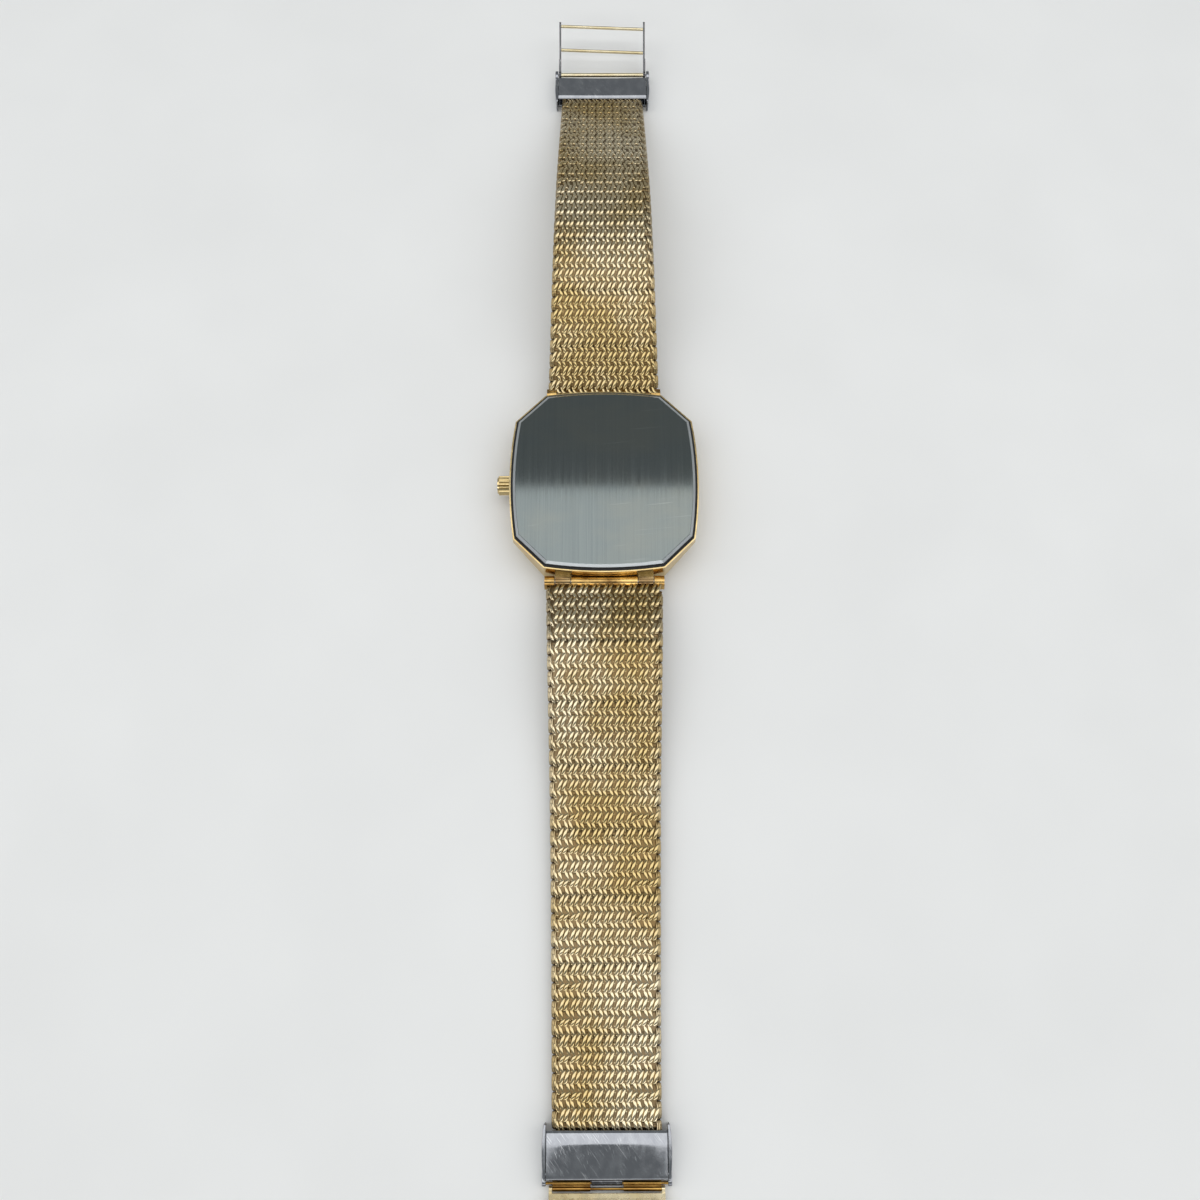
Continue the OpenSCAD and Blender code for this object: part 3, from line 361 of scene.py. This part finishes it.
def brushed_back():
    """Steel brushed along the strap: it blurs reflections sideways and keeps them sharp lengthways.
    The bevel round the back is painted much lighter, a painted highlight.
    """
    s = Shader("brushed_back", Metallic=1.0)
    grain = s.noise((9000, 30, 30), 3, rough=0.7)
    broad = s.noise((1800, 12, 12), 3)
    cloud = s.noise((70, 110, 70), 4)
    steel = s.mix(s.ramp(grain, 0, 1, 0.35, 0.65), srgb(118, 125, 124), srgb(109, 116, 116))
    steel = s.mix(s.ramp(cloud, 0, 0.55, 0.45, 0.65), steel, srgb(124, 127, 121))
    nicks = s.maths("MULTIPLY", s.hairlines(84, 90, 3600, 0.7), s.ramp(cloud, 0, 0.35, 0.5, 0.65))
    split = s.node("ShaderNodeSeparateXYZ")
    s.link(s.place, split.inputs[0])
    # Painted highlight: the bevel below the back's outer face is painted lighter, and made rougher
    bevel_highlight = s.ramp(split.outputs["Z"], 1, 0, BEVEL_LOW, BEVEL_HIGH)
    s.color(s.mix(bevel_highlight, s.mix(nicks, steel, srgb(150, 154, 152)), srgb(186, 190, 192)))
    s.roughness(s.maths("ADD", s.ramp(broad, 0.045, 0.08), s.maths("MULTIPLY", bevel_highlight, 0.3)))
    s.bump(s.maths("ADD", grain, broad), 0.004 * MM)
    return s.material


def polished_steel(name, first, second):
    """Mirror steel dulled by handling, with slanting scratches in patches"""
    s = Shader(name, Metallic=1.0)
    patch = s.ramp(s.noise((260, 200, 260), 3), 0, 1, 0.42, 0.66)
    fine = s.maths("MAXIMUM", s.hairlines(-38, 420, 8200, 0.66), s.hairlines(-20, 700, 9000, 0.68))
    marks = s.maths("MULTIPLY", s.maths("MULTIPLY", fine, patch), 0.5)
    scuff = s.noise((700, 500, 600), 4)
    s.color(s.mix(marks, s.mix(s.ramp(scuff, 0, 1, 0.4, 0.7), first, second), srgb(214, 215, 216)))
    s.roughness(s.maths("ADD", s.ramp(marks, 0.04, 0.3, 0, 1), s.ramp(scuff, 0.0, 0.07)))
    s.bump(s.maths("ADD", scuff, marks), 0.002 * MM)
    return s.material


def plain_metal(name, first, second, rough=(0.25, 0.4), grain=(1500, 200, 1500)):
    """Sheet metal with a grain along the strap"""
    s = Shader(name, Metallic=1.0)
    s.color(s.mix(s.ramp(s.noise((400, 400, 400), 3), 0, 1), first, second))
    s.roughness(s.ramp(s.noise(grain, 3), *rough))
    s.bump(s.noise(grain, 2), 0.003 * MM)
    return s.material


def plain_paint(name, first, second, rough=(0.35, 0.55), grain=(3000, 3000, 3000)):
    """Paint, plastic or rubber with a fine even grain"""
    s = Shader(name)
    s.color(s.mix(s.ramp(s.noise((500, 500, 500), 3), 0, 1), first, second))
    s.roughness(s.ramp(s.noise(grain, 3), *rough))
    s.bump(s.noise(grain, 2), 0.004 * MM)
    return s.material


def sunburst_dial():
    """Champagne lacquer brushed outwards from the centre"""
    s = Shader("champagne_dial", Metallic=0.75, Roughness=0.32)
    split = s.node("ShaderNodeSeparateXYZ")
    s.link(s.place, split.inputs[0])
    angle = s.maths("ARCTAN2", split.outputs["Y"], split.outputs["X"])
    ray = s.node("ShaderNodeTexNoise", noise_dimensions="1D")
    ray.inputs["Scale"].default_value = 90
    ray.inputs["Detail"].default_value = 3
    s.link(angle, ray.inputs["W"])
    s.color(s.mix(s.ramp(ray.outputs["Fac"], 0, 1), srgb(226, 210, 168), srgb(205, 184, 134)))
    s.roughness(s.ramp(ray.outputs["Fac"], 0.26, 0.42))
    s.bump(ray.outputs["Fac"], 0.004 * MM)
    return s.material


def mineral_glass():
    """Clear glass, faintly smeared"""
    s = Shader("mineral_glass", Roughness=0.02, IOR=1.5, Transmission_Weight=1.0)
    smear = s.noise((120, 300, 120), 4)
    s.color(s.mix(s.ramp(smear, 0, 1), (1, 1, 1, 1), srgb(246, 250, 250)))
    s.roughness(s.ramp(smear, 0.01, 0.05))
    return s.material


def wound_copper():
    """Enamelled wire wound round the coil's core"""
    s = Shader("wound_copper", Metallic=0.8, Roughness=0.35)
    wave = s.node("ShaderNodeTexWave", bands_direction="X", wave_profile="SIN")
    wave.inputs["Scale"].default_value = 1.0
    wave.inputs["Distortion"].default_value = 0.3
    s.link(s.stretched((2600, 1, 1)), wave.inputs["Vector"])
    s.color(s.mix(wave.outputs["Fac"], srgb(146, 78, 40), srgb(196, 118, 66)))
    s.bump(wave.outputs["Fac"], 0.02 * MM)
    return s.material


def board_green():
    """Circuit board's lacquer over tracks"""
    s = Shader("board_green", Roughness=0.35)
    tracks = s.node("ShaderNodeTexBrick")
    tracks.inputs["Scale"].default_value = 1.0
    tracks.inputs["Color1"].default_value = srgb(38, 92, 60)
    tracks.inputs["Color2"].default_value = srgb(30, 78, 50)
    tracks.inputs["Mortar"].default_value = srgb(78, 132, 92)
    s.link(s.stretched((900, 900, 900)), tracks.inputs["Vector"])
    s.color(tracks.outputs["Color"])
    s.bump(tracks.outputs["Fac"], 0.01 * MM)
    return s.material


GOLD = plated_gold("plated_gold", PLATE_BRIGHT, PLATE_DULL)
TUBE_GOLD = plated_gold("soldered_gold", srgb(240, 200, 126), srgb(84, 52, 26), (0.06, 0.3))
CASE_GOLD = case_gold()
MESH_GOLD = woven_gold()
BACK = brushed_back()
POLISHED = polished_steel("polished_steel", srgb(148, 150, 155), srgb(164, 166, 170))
# Rail steel is the same polished steel painted much darker, as painted shade and a painted dark
# reflection, for the ladder rails and the link's knuckle
SHADED_RAIL_STEEL = polished_steel("shaded_rail_steel", srgb(84, 84, 86), srgb(100, 100, 102))
LINK_GOLD = plated_gold("link_gold", srgb(208, 168, 94), srgb(140, 98, 46))
COVER_GOLD = plated_gold("cover_gold", srgb(228, 214, 180), srgb(206, 186, 140), (0.2, 0.34))
BAR_GOLD = plated_gold("bar_gold", srgb(232, 222, 192), srgb(212, 196, 156))
STEEL = plain_metal("sheet_steel", srgb(176, 178, 180), srgb(150, 152, 155))
BRASS = plain_metal("movement_brass", srgb(208, 178, 112), srgb(184, 150, 84))
GLASS = mineral_glass()
RUBBER = plain_paint("gasket_rubber", srgb(30, 30, 31), srgb(20, 20, 21), rough=(0.6, 0.85))
WHITE = plain_paint("holder_white", srgb(232, 230, 223), srgb(218, 216, 208))
CHIP = plain_paint("chip_black", srgb(24, 24, 26), srgb(36, 36, 38))
DIAL = sunburst_dial()
COPPER = wound_copper()
BOARD = board_green()

NODE_MATERIALS = {
    GOLD: ["dial_ring", "hour_markers", "minute_hand", "hour_hand", "crown"],
    LINK_GOLD: ["hinge_link"],
    COVER_GOLD: ["clasp_cover"],
    TUBE_GOLD: ["upper_end_tube", "lower_end_tube"],
    CASE_GOLD: ["case_body"],
    BACK: ["case_back"],
    GLASS: ["crystal"],
    DIAL: ["dial"],
    RUBBER: ["back_gasket", "crown_gasket"],
    WHITE: ["crystal_gasket", "movement_holder"],
    POLISHED: ["ladder_pin"],
    SHADED_RAIL_STEEL: ["ladder_rails"],
    BAR_GOLD: ["ladder_bars"],
    STEEL: ["crown_tube", "quartz_can", "stator", "battery", "battery_clamp", "movement_screws",
            "strap_pins", "rotor", "stem", "setting_lever", "cover_liner"],
    BRASS: ["main_plate", "train_bridge", "centre_wheel", "hour_wheel", "minute_wheel",
            "third_wheel", "fifth_wheel"],
    CHIP: ["control_chip"],
    COPPER: ["drive_coil"],
    BOARD: ["circuit_board"],
}
for material, names in NODE_MATERIALS.items():
    for name in names:
        mesh = NODES[name].data
        mesh.materials.clear()
        mesh.materials.append(material)


# The strap's smooth centre line

class StrapPath:
    """Centre line of one strap half at rest: straight at both ends, and a smooth curve that
    touches every segment at its middle. side is 1 at 12 o'clock and -1 at 6 o'clock."""

    def __init__(self, side, names):
        self.side = side
        corners = np.array([JOINTS[n]["pos_m"][1:] for n in names], float)
        corners[:, 0] *= side
        middles = (corners[:-1] + corners[1:]) / 2
        points = [corners[0]]
        steps = np.linspace(0, 1, CURVE_POINTS)[:, None]
        for a, corner, b in zip(middles[:-1], corners[1:-1], middles[1:]):
            points.extend((1 - steps) ** 2 * a + 2 * steps * (1 - steps) * corner + steps ** 2 * b)
        points.append(corners[-1])
        self.points = np.array(points)
        gaps = np.linalg.norm(np.diff(self.points, axis=0), axis=1)
        keep = np.concatenate([[True], gaps > SAME_PLACE])
        self.points = self.points[keep]
        gaps = np.linalg.norm(np.diff(self.points, axis=0), axis=1)
        self.at = np.concatenate([[0], np.cumsum(gaps)])
        self.length = self.at[-1]
        lengths = np.linalg.norm(np.diff(corners, axis=0), axis=1)
        self.joint_at = np.concatenate([[0], np.cumsum(lengths)]) * self.length / lengths.sum()
        slopes = np.gradient(self.points, self.at, axis=0)
        self.angle = np.arctan2(slopes[:, 1], slopes[:, 0])

    def place(self, x, s, w):
        """World points of arrays: x across, s along the strap, w towards the wrist"""
        y = np.interp(s, self.at, self.points[:, 0])
        z = np.interp(s, self.at, self.points[:, 1])
        angle = np.interp(s, self.at, self.angle)
        y = y + np.where(s > self.length, (s - self.length) * np.cos(angle), 0)
        z = z + np.where(s > self.length, (s - self.length) * np.sin(angle), 0)
        return np.stack([x + 0 * s, self.side * (y - w * np.sin(angle)), z + w * np.cos(angle)], -1)

    def width(self, s):
        """Width of the weave, which narrows quickly at first"""
        u = np.clip(s / self.length, 0, 1)
        return STRAP_W_CLASP + (STRAP_W_CASE - STRAP_W_CLASP) * (1 - u) * (1 - TAPER_BEND * u)


class MeshBuilder:
    """Collects vertices, faces and one value a vertex, and makes one object of them"""

    def __init__(self):
        self.verts = []
        self.faces = []
        self.depth = []
        self.count = 0

    def loft(self, rings, depth):
        """Closed solid through rings of points; rings is an array of rings x points x 3"""
        stations, sides = rings.shape[:2]
        self.verts.append(rings.reshape(-1, 3))
        self.depth.append(np.repeat(depth, sides))
        i = np.arange(stations - 1)[:, None] * sides + self.count
        a = np.arange(sides)[None, :]
        b = (a + 1) % sides
        quads = np.stack([i + a, i + b, i + sides + b, i + sides + a], -1).reshape(-1, 4)
        self.faces.extend(quads.tolist())
        last = self.count + (stations - 1) * sides
        self.faces.append(list(range(self.count, self.count + sides))[::-1])
        self.faces.append(list(range(last, last + sides)))
        self.count += stations * sides

    def wire(self, centres, outward, radius, depth):
        """Wire along centres, worn flat on the side that points out of the weave"""
        tangent = np.gradient(centres, axis=0)
        tangent /= np.linalg.norm(tangent, axis=1)[:, None]
        side = np.cross(tangent, outward)
        side /= np.linalg.norm(side, axis=1)[:, None]
        up = np.cross(side, tangent)
        turns = (np.arange(WIRE_SIDES) + 0.5) * 2 * math.pi / WIRE_SIDES
        ring = WIRE_FLAT * np.cos(turns)[None, :, None] * up[:, None]
        ring = ring + np.sin(turns)[None, :, None] * side[:, None]
        self.loft(centres[:, None] + radius * ring, depth)

    def object(self, name, material):
        mesh = bpy.data.meshes.new(name)
        mesh.from_pydata(np.concatenate(self.verts).tolist(), [], self.faces)
        values = mesh.attributes.new("depth", "FLOAT", "POINT")
        values.data.foreach_set("value", np.concatenate(self.depth).astype(np.float32))
        mesh.materials.append(material)
        mesh.shade_smooth()
        mesh.update()
        obj = bpy.data.objects.new(name, mesh)
        bpy.context.scene.collection.objects.link(obj)
        return obj


def superellipse(angle, power):
    """Rounded box profile: a sine and a cosine pressed towards their ends"""
    c, s = np.cos(angle), np.sin(angle)
    return np.sign(c) * np.abs(c) ** power, np.sign(s) * np.abs(s) ** power


def pressed_share(edge):
    """How far the adjusting slots press the weave, 0 to 1, at a distance from the strap's edge"""
    rise = np.clip((edge - GROOVE_IN) / GROOVE_SLOPE, 0, 1)
    return rise * np.clip((GROOVE_OUT - edge) / GROOVE_SLOPE, 0, 1)


def weave_row(builder, path, centre, slant, first, press, sink, nearest):
    """One row: a flat coil of two wires side by side. slant is its hand, and first the place of its
    first crossing as a share of a turn. press is how much its near and far ends are pushed in where
    the adjusting slots cross the strap; below 0 they spread. sink is how much lower the row lies than
    the rows that stand out. No wire comes nearer to the pin than nearest."""
    half = path.width(centre) / 2
    reach = half - EDGE_BAND
    pitch = 2 * reach / TURNS
    turn = np.arange(TURNS * TURN_POINTS + 1) / TURN_POINTS
    along, up = superellipse(2 * math.pi * (turn - first + 0.25), ROW_POWER)
    wobble = RANDOM.normal(0, WOBBLE, TURNS + 2)
    for wire in range(WIRES):
        x = -reach + pitch * (turn + (wire - (WIRES - 1) / 2) * WIRE_STEP - WIRE_SKEW * along)
        v = -slant * along * (ROW_REACH / 2 - WIRE_R)
        v = v + np.interp(turn, np.arange(TURNS + 2), wobble)
        w = up * (STRAP_T / 2 - WIRE_R * WIRE_FLAT - sink)
        inside = pressed_share(half - np.abs(x)) * (up > -0.2)
        v = v * (1 - np.where(v < 0, press[0], press[1]) * inside)
        w = w - PRESS_DOWN * inside * (min(press) > 0)
        s = np.maximum(centre + v, nearest)
        hug = np.sqrt(np.clip(HUG_R ** 2 - s ** 2, 0, None))
        w = np.where(np.abs(up) > 0.5, np.sign(w) * np.maximum(np.abs(w), hug), w)
        # Depth value for painted shade: the wires' sides and bends are painted darker
        depth = np.clip((1 - np.abs(up)) * SIDE_DEPTH + BEND_DEPTH * np.abs(along) ** 4, 0, 1)
        centres = path.place(x, s, w)
        axis = path.place(x, np.full(len(x), centre), 0 * w)
        builder.wire(centres, centres - axis, WIRE_R, depth)


def edge_loop(builder, path, start, end, side):
    """Upright wires that bend round the strap's edge and close the rows between start and end"""
    centre = (start + end) / 2
    half = path.width(centre) / 2
    s = centre + LOOP_ALONG * ((end - start) / 2 - LOOP_GAP)
    for angle in LOOP_ANGLES:
        x = side * (half - EDGE_R + (EDGE_R - WIRE_R) * math.cos(angle) - LOOP_TUCK * TUCK_IN)
        w = math.sin(angle) * (STRAP_T / 2 - WIRE_R) * (1 - LOOP_TUCK * TUCK_DOWN)
        centres = path.place(x, s, w)
        axis = path.place(x - side * EDGE_R, s, 0 * w)
        # The loops' depth value paints them darker, most at their tucked ends, as painted shade
        builder.wire(centres, centres - axis, LOOP_WIRE * WIRE_R, LOOP_DEPTH + LOOP_TUCK)


def weave_core(builder, path, start, end, step):
    """Inside of the weave, thinner between the rows, so that no light comes through; its depth value
    CORE_SHADE paints it dark brown, as painted shade deep in the weave
    """
    stations = np.linspace(start, end, max(2, round((end - start) / step * 2)) + 1)
    half = path.width(stations) / 2 - EDGE_R
    thick = CORE_T / 2 * (1 - CORE_WAIST * (np.arange(len(stations)) % 2))
    outline = CORE_TOP + [(-a, -b) for a, b in CORE_TOP]
    rings = np.stack([path.place(a * half, stations, b * thick) for a, b in outline], 1)
    builder.loft(rings, np.full(len(stations), CORE_SHADE))


def weave_strap(side, label, pair, grooves, nearest):
    """All rows of one strap half, an object for each segment, riding on the segment's body. pair is
    the length of two rows, and grooves the number of adjusting slots, counted from the clasp."""
    count = sum(1 for body in frame["bodies"] if body.startswith(f"{label}_strap_"))
    names = [f"{label}_pin_hinge"] + [f"{label}_flex_{i}" for i in range(1, count)]
    path = StrapPath(side, names + [f"{label}_clamp_flex"])
    woven = path.length - STRAP_LEAD
    rows = 2 * round(woven / pair)
    step = woven / rows
    first_row = -1 if nearest < STRAP_LEAD / 2 else 0
    pressed = {rows - GROOVE_ROWS * g for g in range(1, grooves + 1)}
    for segment in range(count):
        builder = MeshBuilder()
        low, high = path.joint_at[segment], path.joint_at[segment + 1]
        for row in range(first_row, rows):
            start = STRAP_LEAD + row * step
            centre = start + step / 2
            if not low <= centre < high:
                continue
            slant = -side if row % 2 else side
            first = 0.75 if (row % 2 == 0) == (side < 0) else 0.25
            near = PRESS if row in pressed else -SPREAD * (row - 1 in pressed)
            far = PRESS if row in pressed else -SPREAD * (row + 1 in pressed)
            sink = ROW_SINK if row % 2 else 0
            weave_row(builder, path, centre, slant, first, (near, far), sink, nearest)
            edge = side if row % 2 == 0 else -side
            edge_loop(builder, path, max(start, nearest), start + 2 * step, edge)
        weave_core(builder, path, max(low, TUBE_R) + CORE_GAP, high - CORE_GAP, step)
        name = f"{label}_weave_{segment + 1}"
        woven_object = builder.object(name, MESH_GOLD)
        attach(woven_object, f"{label}_strap_{segment + 1}")
        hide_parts(f"{label}_segment_{segment + 1}")


RANDOM = np.random.default_rng(12)
weave_strap(1, "upper", UPPER_PAIR, UPPER_GROOVES, UPPER_START)
weave_strap(-1, "lower", LOWER_PAIR, LOWER_GROOVES, LOWER_START)


# End clamps: sheet steel channels with rounded edges, and the crowned plates that lock them

def rounded(half_a, half_b, r):
    """Outline of a rectangle with rounded corners, as points about its middle"""
    points = []
    for k, (a, b) in enumerate(((1, 1), (-1, 1), (-1, -1), (1, -1))):
        for angle in math.radians(90 * k) + QUARTER:
            points.append((a * (half_a - r) + r * math.cos(angle),
                           b * (half_b - r) + r * math.sin(angle)))
    return np.array(points)


def rounded_ends(start, end, r):
    """Stations from start to end, and how far the outline draws in at each to round both ends"""
    steps = r * (1 - np.cos(QUARTER))
    insets = r * (1 - np.sin(QUARTER))
    middle = np.linspace(start + r, end - r, 14)[1:-1]
    stations = np.concatenate([start + steps, middle, end - steps[::-1]])
    return stations, np.concatenate([insets, 0 * middle, insets[::-1]])


class Clamp:
    """One end clamp, placed by its joints"""

    def __init__(self, side, label, tail):
        self.side = side
        self.label = label
        self.tail = tail
        self.origin = np.array(JOINTS[f"{label}_clamp_flex"]["pos_m"])
        pivot = np.array(JOINTS[f"{label}_lock_open"]["pos_m"]) - self.origin
        self.pivot = np.array([side * pivot[1], pivot[2]])
        self.ears = ("ladder_swing", LADDER_ARM_R) if side > 0 else ("clasp_link_fold", LINK_ARM_R)
        self.floor_end = self.pivot[0] + CLAMP_AFTER_PIVOT
        self.end = self.floor_end + tail

    def place(self, x, y, z):
        """World points: x across, y along the clamp and z up"""
        points = np.broadcast_arrays(x, self.origin[1] + self.side * y, self.origin[2] + z)
        return np.stack(points, -1)

    def finish(self, builder, part, body, node=None, material=POLISHED):
        """Makes the piece, on its body, in place of a node where one is named"""
        obj = builder.object(f"{self.label}_{part}", material)
        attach(obj, body)
        if node:
            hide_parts(node)

    def rod(self, builder, start, end, centre, r):
        """Pin across the clamp, with rounded ends"""
        turns = np.radians(np.arange(0, 360, 30))
        stations, insets = rounded_ends(start, end, PIN_EDGE_R)
        rings = []
        for x, inset in zip(stations, insets):
            y = centre[0] + (r - inset) * np.cos(turns)
            rings.append(self.place(x, y, centre[1] + (r - inset) * np.sin(turns)))
        builder.loft(np.array(rings), np.zeros(len(stations)))

    def channel(self, body):
        """Floor and two flanges that bulge outwards in the middle of their length"""
        builder = MeshBuilder()
        half_y = (self.floor_end - CHANNEL_FRONT) / 2
        middle_y = (self.floor_end + CHANNEL_FRONT) / 2
        middle_z = SHEET_T / 2 - CLAMP_HALF_H
        stations, insets = rounded_ends(-FLANGE_OUTSIDE, FLANGE_OUTSIDE, CHANNEL_EDGE_R)
        rings = []
        for x, inset in zip(stations, insets):
            ring = rounded(half_y - inset, SHEET_T / 2 - inset, CHANNEL_EDGE_R)
            rings.append(self.place(x, middle_y + ring[:, 0], middle_z + ring[:, 1]))
        builder.loft(np.array(rings), np.zeros(len(stations)))
        stations, insets = rounded_ends(CLAMP_FRONT, self.end, FLANGE_END_R)
        share = (2 * stations - self.end - CLAMP_FRONT) / (self.end - CLAMP_FRONT)
        outside = CLAMP_HALF_W - FLANGE_BULGE * share ** 2
        for sx in (-1, 1):
            rings = []
            for y, inset, outer in zip(stations, insets, outside):
                half_x = (outer - FLANGE_INSIDE) / 2
                thinner = half_x - FLANGE_THINNING * inset
                ring = rounded(thinner, CLAMP_HALF_H - inset, FLANGE_EDGE_R)
                rings.append(self.place(sx * (FLANGE_INSIDE + half_x + ring[:, 0]), y, ring[:, 1]))
            builder.loft(np.array(rings), np.zeros(len(stations)))
        joint, radius = self.ears
        for sx in (-1, 1):
            self.arm(builder, sx * FLANGE_INSIDE, sx * CLAMP_HALF_W, joint, radius)
        if self.side < 0:
            knuckle = MeshBuilder()
            self.arm(knuckle, -KNUCKLE_HALF, KNUCKLE_HALF, "clasp_link_fold", KNUCKLE_R)
            self.finish(knuckle, "knuckle", body, material=SHADED_RAIL_STEEL)
        self.finish(builder, "channel", body, f"{self.label}_clamp")

    def arm(self, builder, start, end, joint, radius):
        """Ear or knuckle of the channel about the axis of a joint behind it"""
        axis = np.array(JOINTS[joint]["pos_m"]) - self.origin
        centre = self.side * axis[1]
        height = axis[2]
        turns = np.radians(np.arange(-90, 91, 15))
        stations, insets = rounded_ends(min(start, end), max(start, end), EAR_EDGE_R)
        rings = []
        for x, inset in zip(stations, insets):
            r = radius - inset
            y = np.concatenate([centre + r * np.cos(turns), [self.pivot[0], self.pivot[0]]])
            z = np.concatenate([height + r * np.sin(turns), [height + r, height - r]])
            rings.append(self.place(x, y, z))
        builder.loft(np.array(rings), np.zeros(len(stations)))

    def plate(self, body):
        """Lock plate: rolled lip towards the strap, slightly domed top, round end on its pivot"""
        under = CLAMP_HALF_H - SHEET_T
        lip = np.radians(np.arange(0, 91, 7.5))
        end = np.radians(np.arange(90, -91, -18))
        back = self.pivot[0] + self.tail
        flat = np.linspace(LIP_AT + LIP_RUN, back, 12)[1:-1]
        below = np.linspace(back, LIP_AT + PLATE_EDGE_R, 5)[1:]
        y = np.concatenate([LIP_AT + LIP_RUN * (1 - np.cos(lip)), flat,
                            back + SHEET_T / 2 * np.cos(end), below])
        z = np.concatenate([under + SHEET_T * np.sin(lip), 0 * flat + CLAMP_HALF_H,
                            self.pivot[1] + SHEET_T / 2 * np.sin(end), 0 * below + under])
        along = np.clip((y - LIP_AT) / (back - LIP_AT), 0, 1)
        weight = (z - under) / SHEET_T
        builder = MeshBuilder()
        stations, insets = rounded_ends(-PLATE_HALF, PLATE_HALF, PLATE_EDGE_R)
        rings = []
        for x, inset in zip(stations, insets):
            across = abs(x) / PLATE_HALF
            dome = DOME * along ** DOME_RISE * (1 - DOME_FALL * across ** 2)
            rings.append(self.place(x, y, z - weight * (PLATE_SINK + dome + inset)))
        builder.loft(np.array(rings), np.zeros(len(stations)))
        for sx in (-1, 1):
            start, stop = sorted((sx * PIN_IN, sx * PIN_OUT))
            self.rod(builder, start, stop, self.pivot, PIN_R)
        self.finish(builder, "plate", body, f"{self.label}_lock_plate")


for side, label, tail in ((1, "upper", UPPER_TAIL), (-1, "lower", LOWER_TAIL)):
    clamp = Clamp(side, label, tail)
    clamp.channel(f"{label}_clamp_body")
    clamp.plate(f"{label}_lock")


# Floor, light and camera

def add_floor():
    """Pale floor that curves up far away, all round, so that no edge of it shows"""
    verts = []
    for r in FLOOR_RINGS:
        z = FLOOR_RISE * max(0.0, r - FLOOR_FLAT) ** FLOOR_CURVE
        for k in range(FLOOR_SPOKES):
            angle = 2 * math.pi * k / FLOOR_SPOKES
            verts.append((r * math.cos(angle), r * math.sin(angle), z))
    faces = []
    for i in range(len(FLOOR_RINGS) - 1):
        for k in range(FLOOR_SPOKES):
            a = i * FLOOR_SPOKES + k
            b = i * FLOOR_SPOKES + (k + 1) % FLOOR_SPOKES
            faces.append((a + FLOOR_SPOKES, b + FLOOR_SPOKES, b, a))
    mesh = bpy.data.meshes.new("floor")
    mesh.from_pydata(verts, [], faces)
    mesh.shade_smooth()
    floor = bpy.data.objects.new("floor", mesh)
    bpy.context.scene.collection.objects.link(floor)
    s = Shader("floor_grey", Roughness=0.85)
    s.color(s.mix(s.ramp(s.noise((30, 30, 30), 2), 0, 1), srgb(240, 240, 239), srgb(236, 236, 235)))
    mesh.materials.append(s.material)


def add_area(name, at, target, size, power):
    """Rectangular lamp that faces a point and isn't seen itself"""
    light = bpy.data.lights.new(name, "AREA")
    light.shape = "RECTANGLE"
    light.size, light.size_y = size
    light.energy = power
    lamp = bpy.data.objects.new(name, light)
    lamp.location = at
    lamp.rotation_euler = (Vector(at) - Vector(target)).to_track_quat("Z", "Y").to_euler()
    lamp.visible_camera = False
    bpy.context.scene.collection.objects.link(lamp)


def add_world():
    """Even light from all round"""
    world = bpy.data.worlds.new("studio")
    world.use_nodes = True
    back = world.node_tree.nodes["Background"]
    back.inputs["Color"].default_value = WORLD_COLOR
    back.inputs["Strength"].default_value = WORLD_LEVEL
    bpy.context.scene.world = world


def add_camera():
    """Camera at the photograph's place and angle"""
    data = bpy.data.cameras.new("camera")
    data.sensor_width = SENSOR
    data.lens = CAMERA_LENS
    data.clip_start = 0.001
    camera = bpy.data.objects.new("camera", data)
    camera.location = CAMERA_AT
    camera.rotation_euler = (CAMERA_TILT, 0, CAMERA_YAW)
    bpy.context.scene.collection.objects.link(camera)
    bpy.context.scene.camera = camera


add_floor()
add_world()
for lamp in LAMPS:
    add_area(*lamp)
add_camera()
bpy.context.scene.view_settings.view_transform = "Standard"
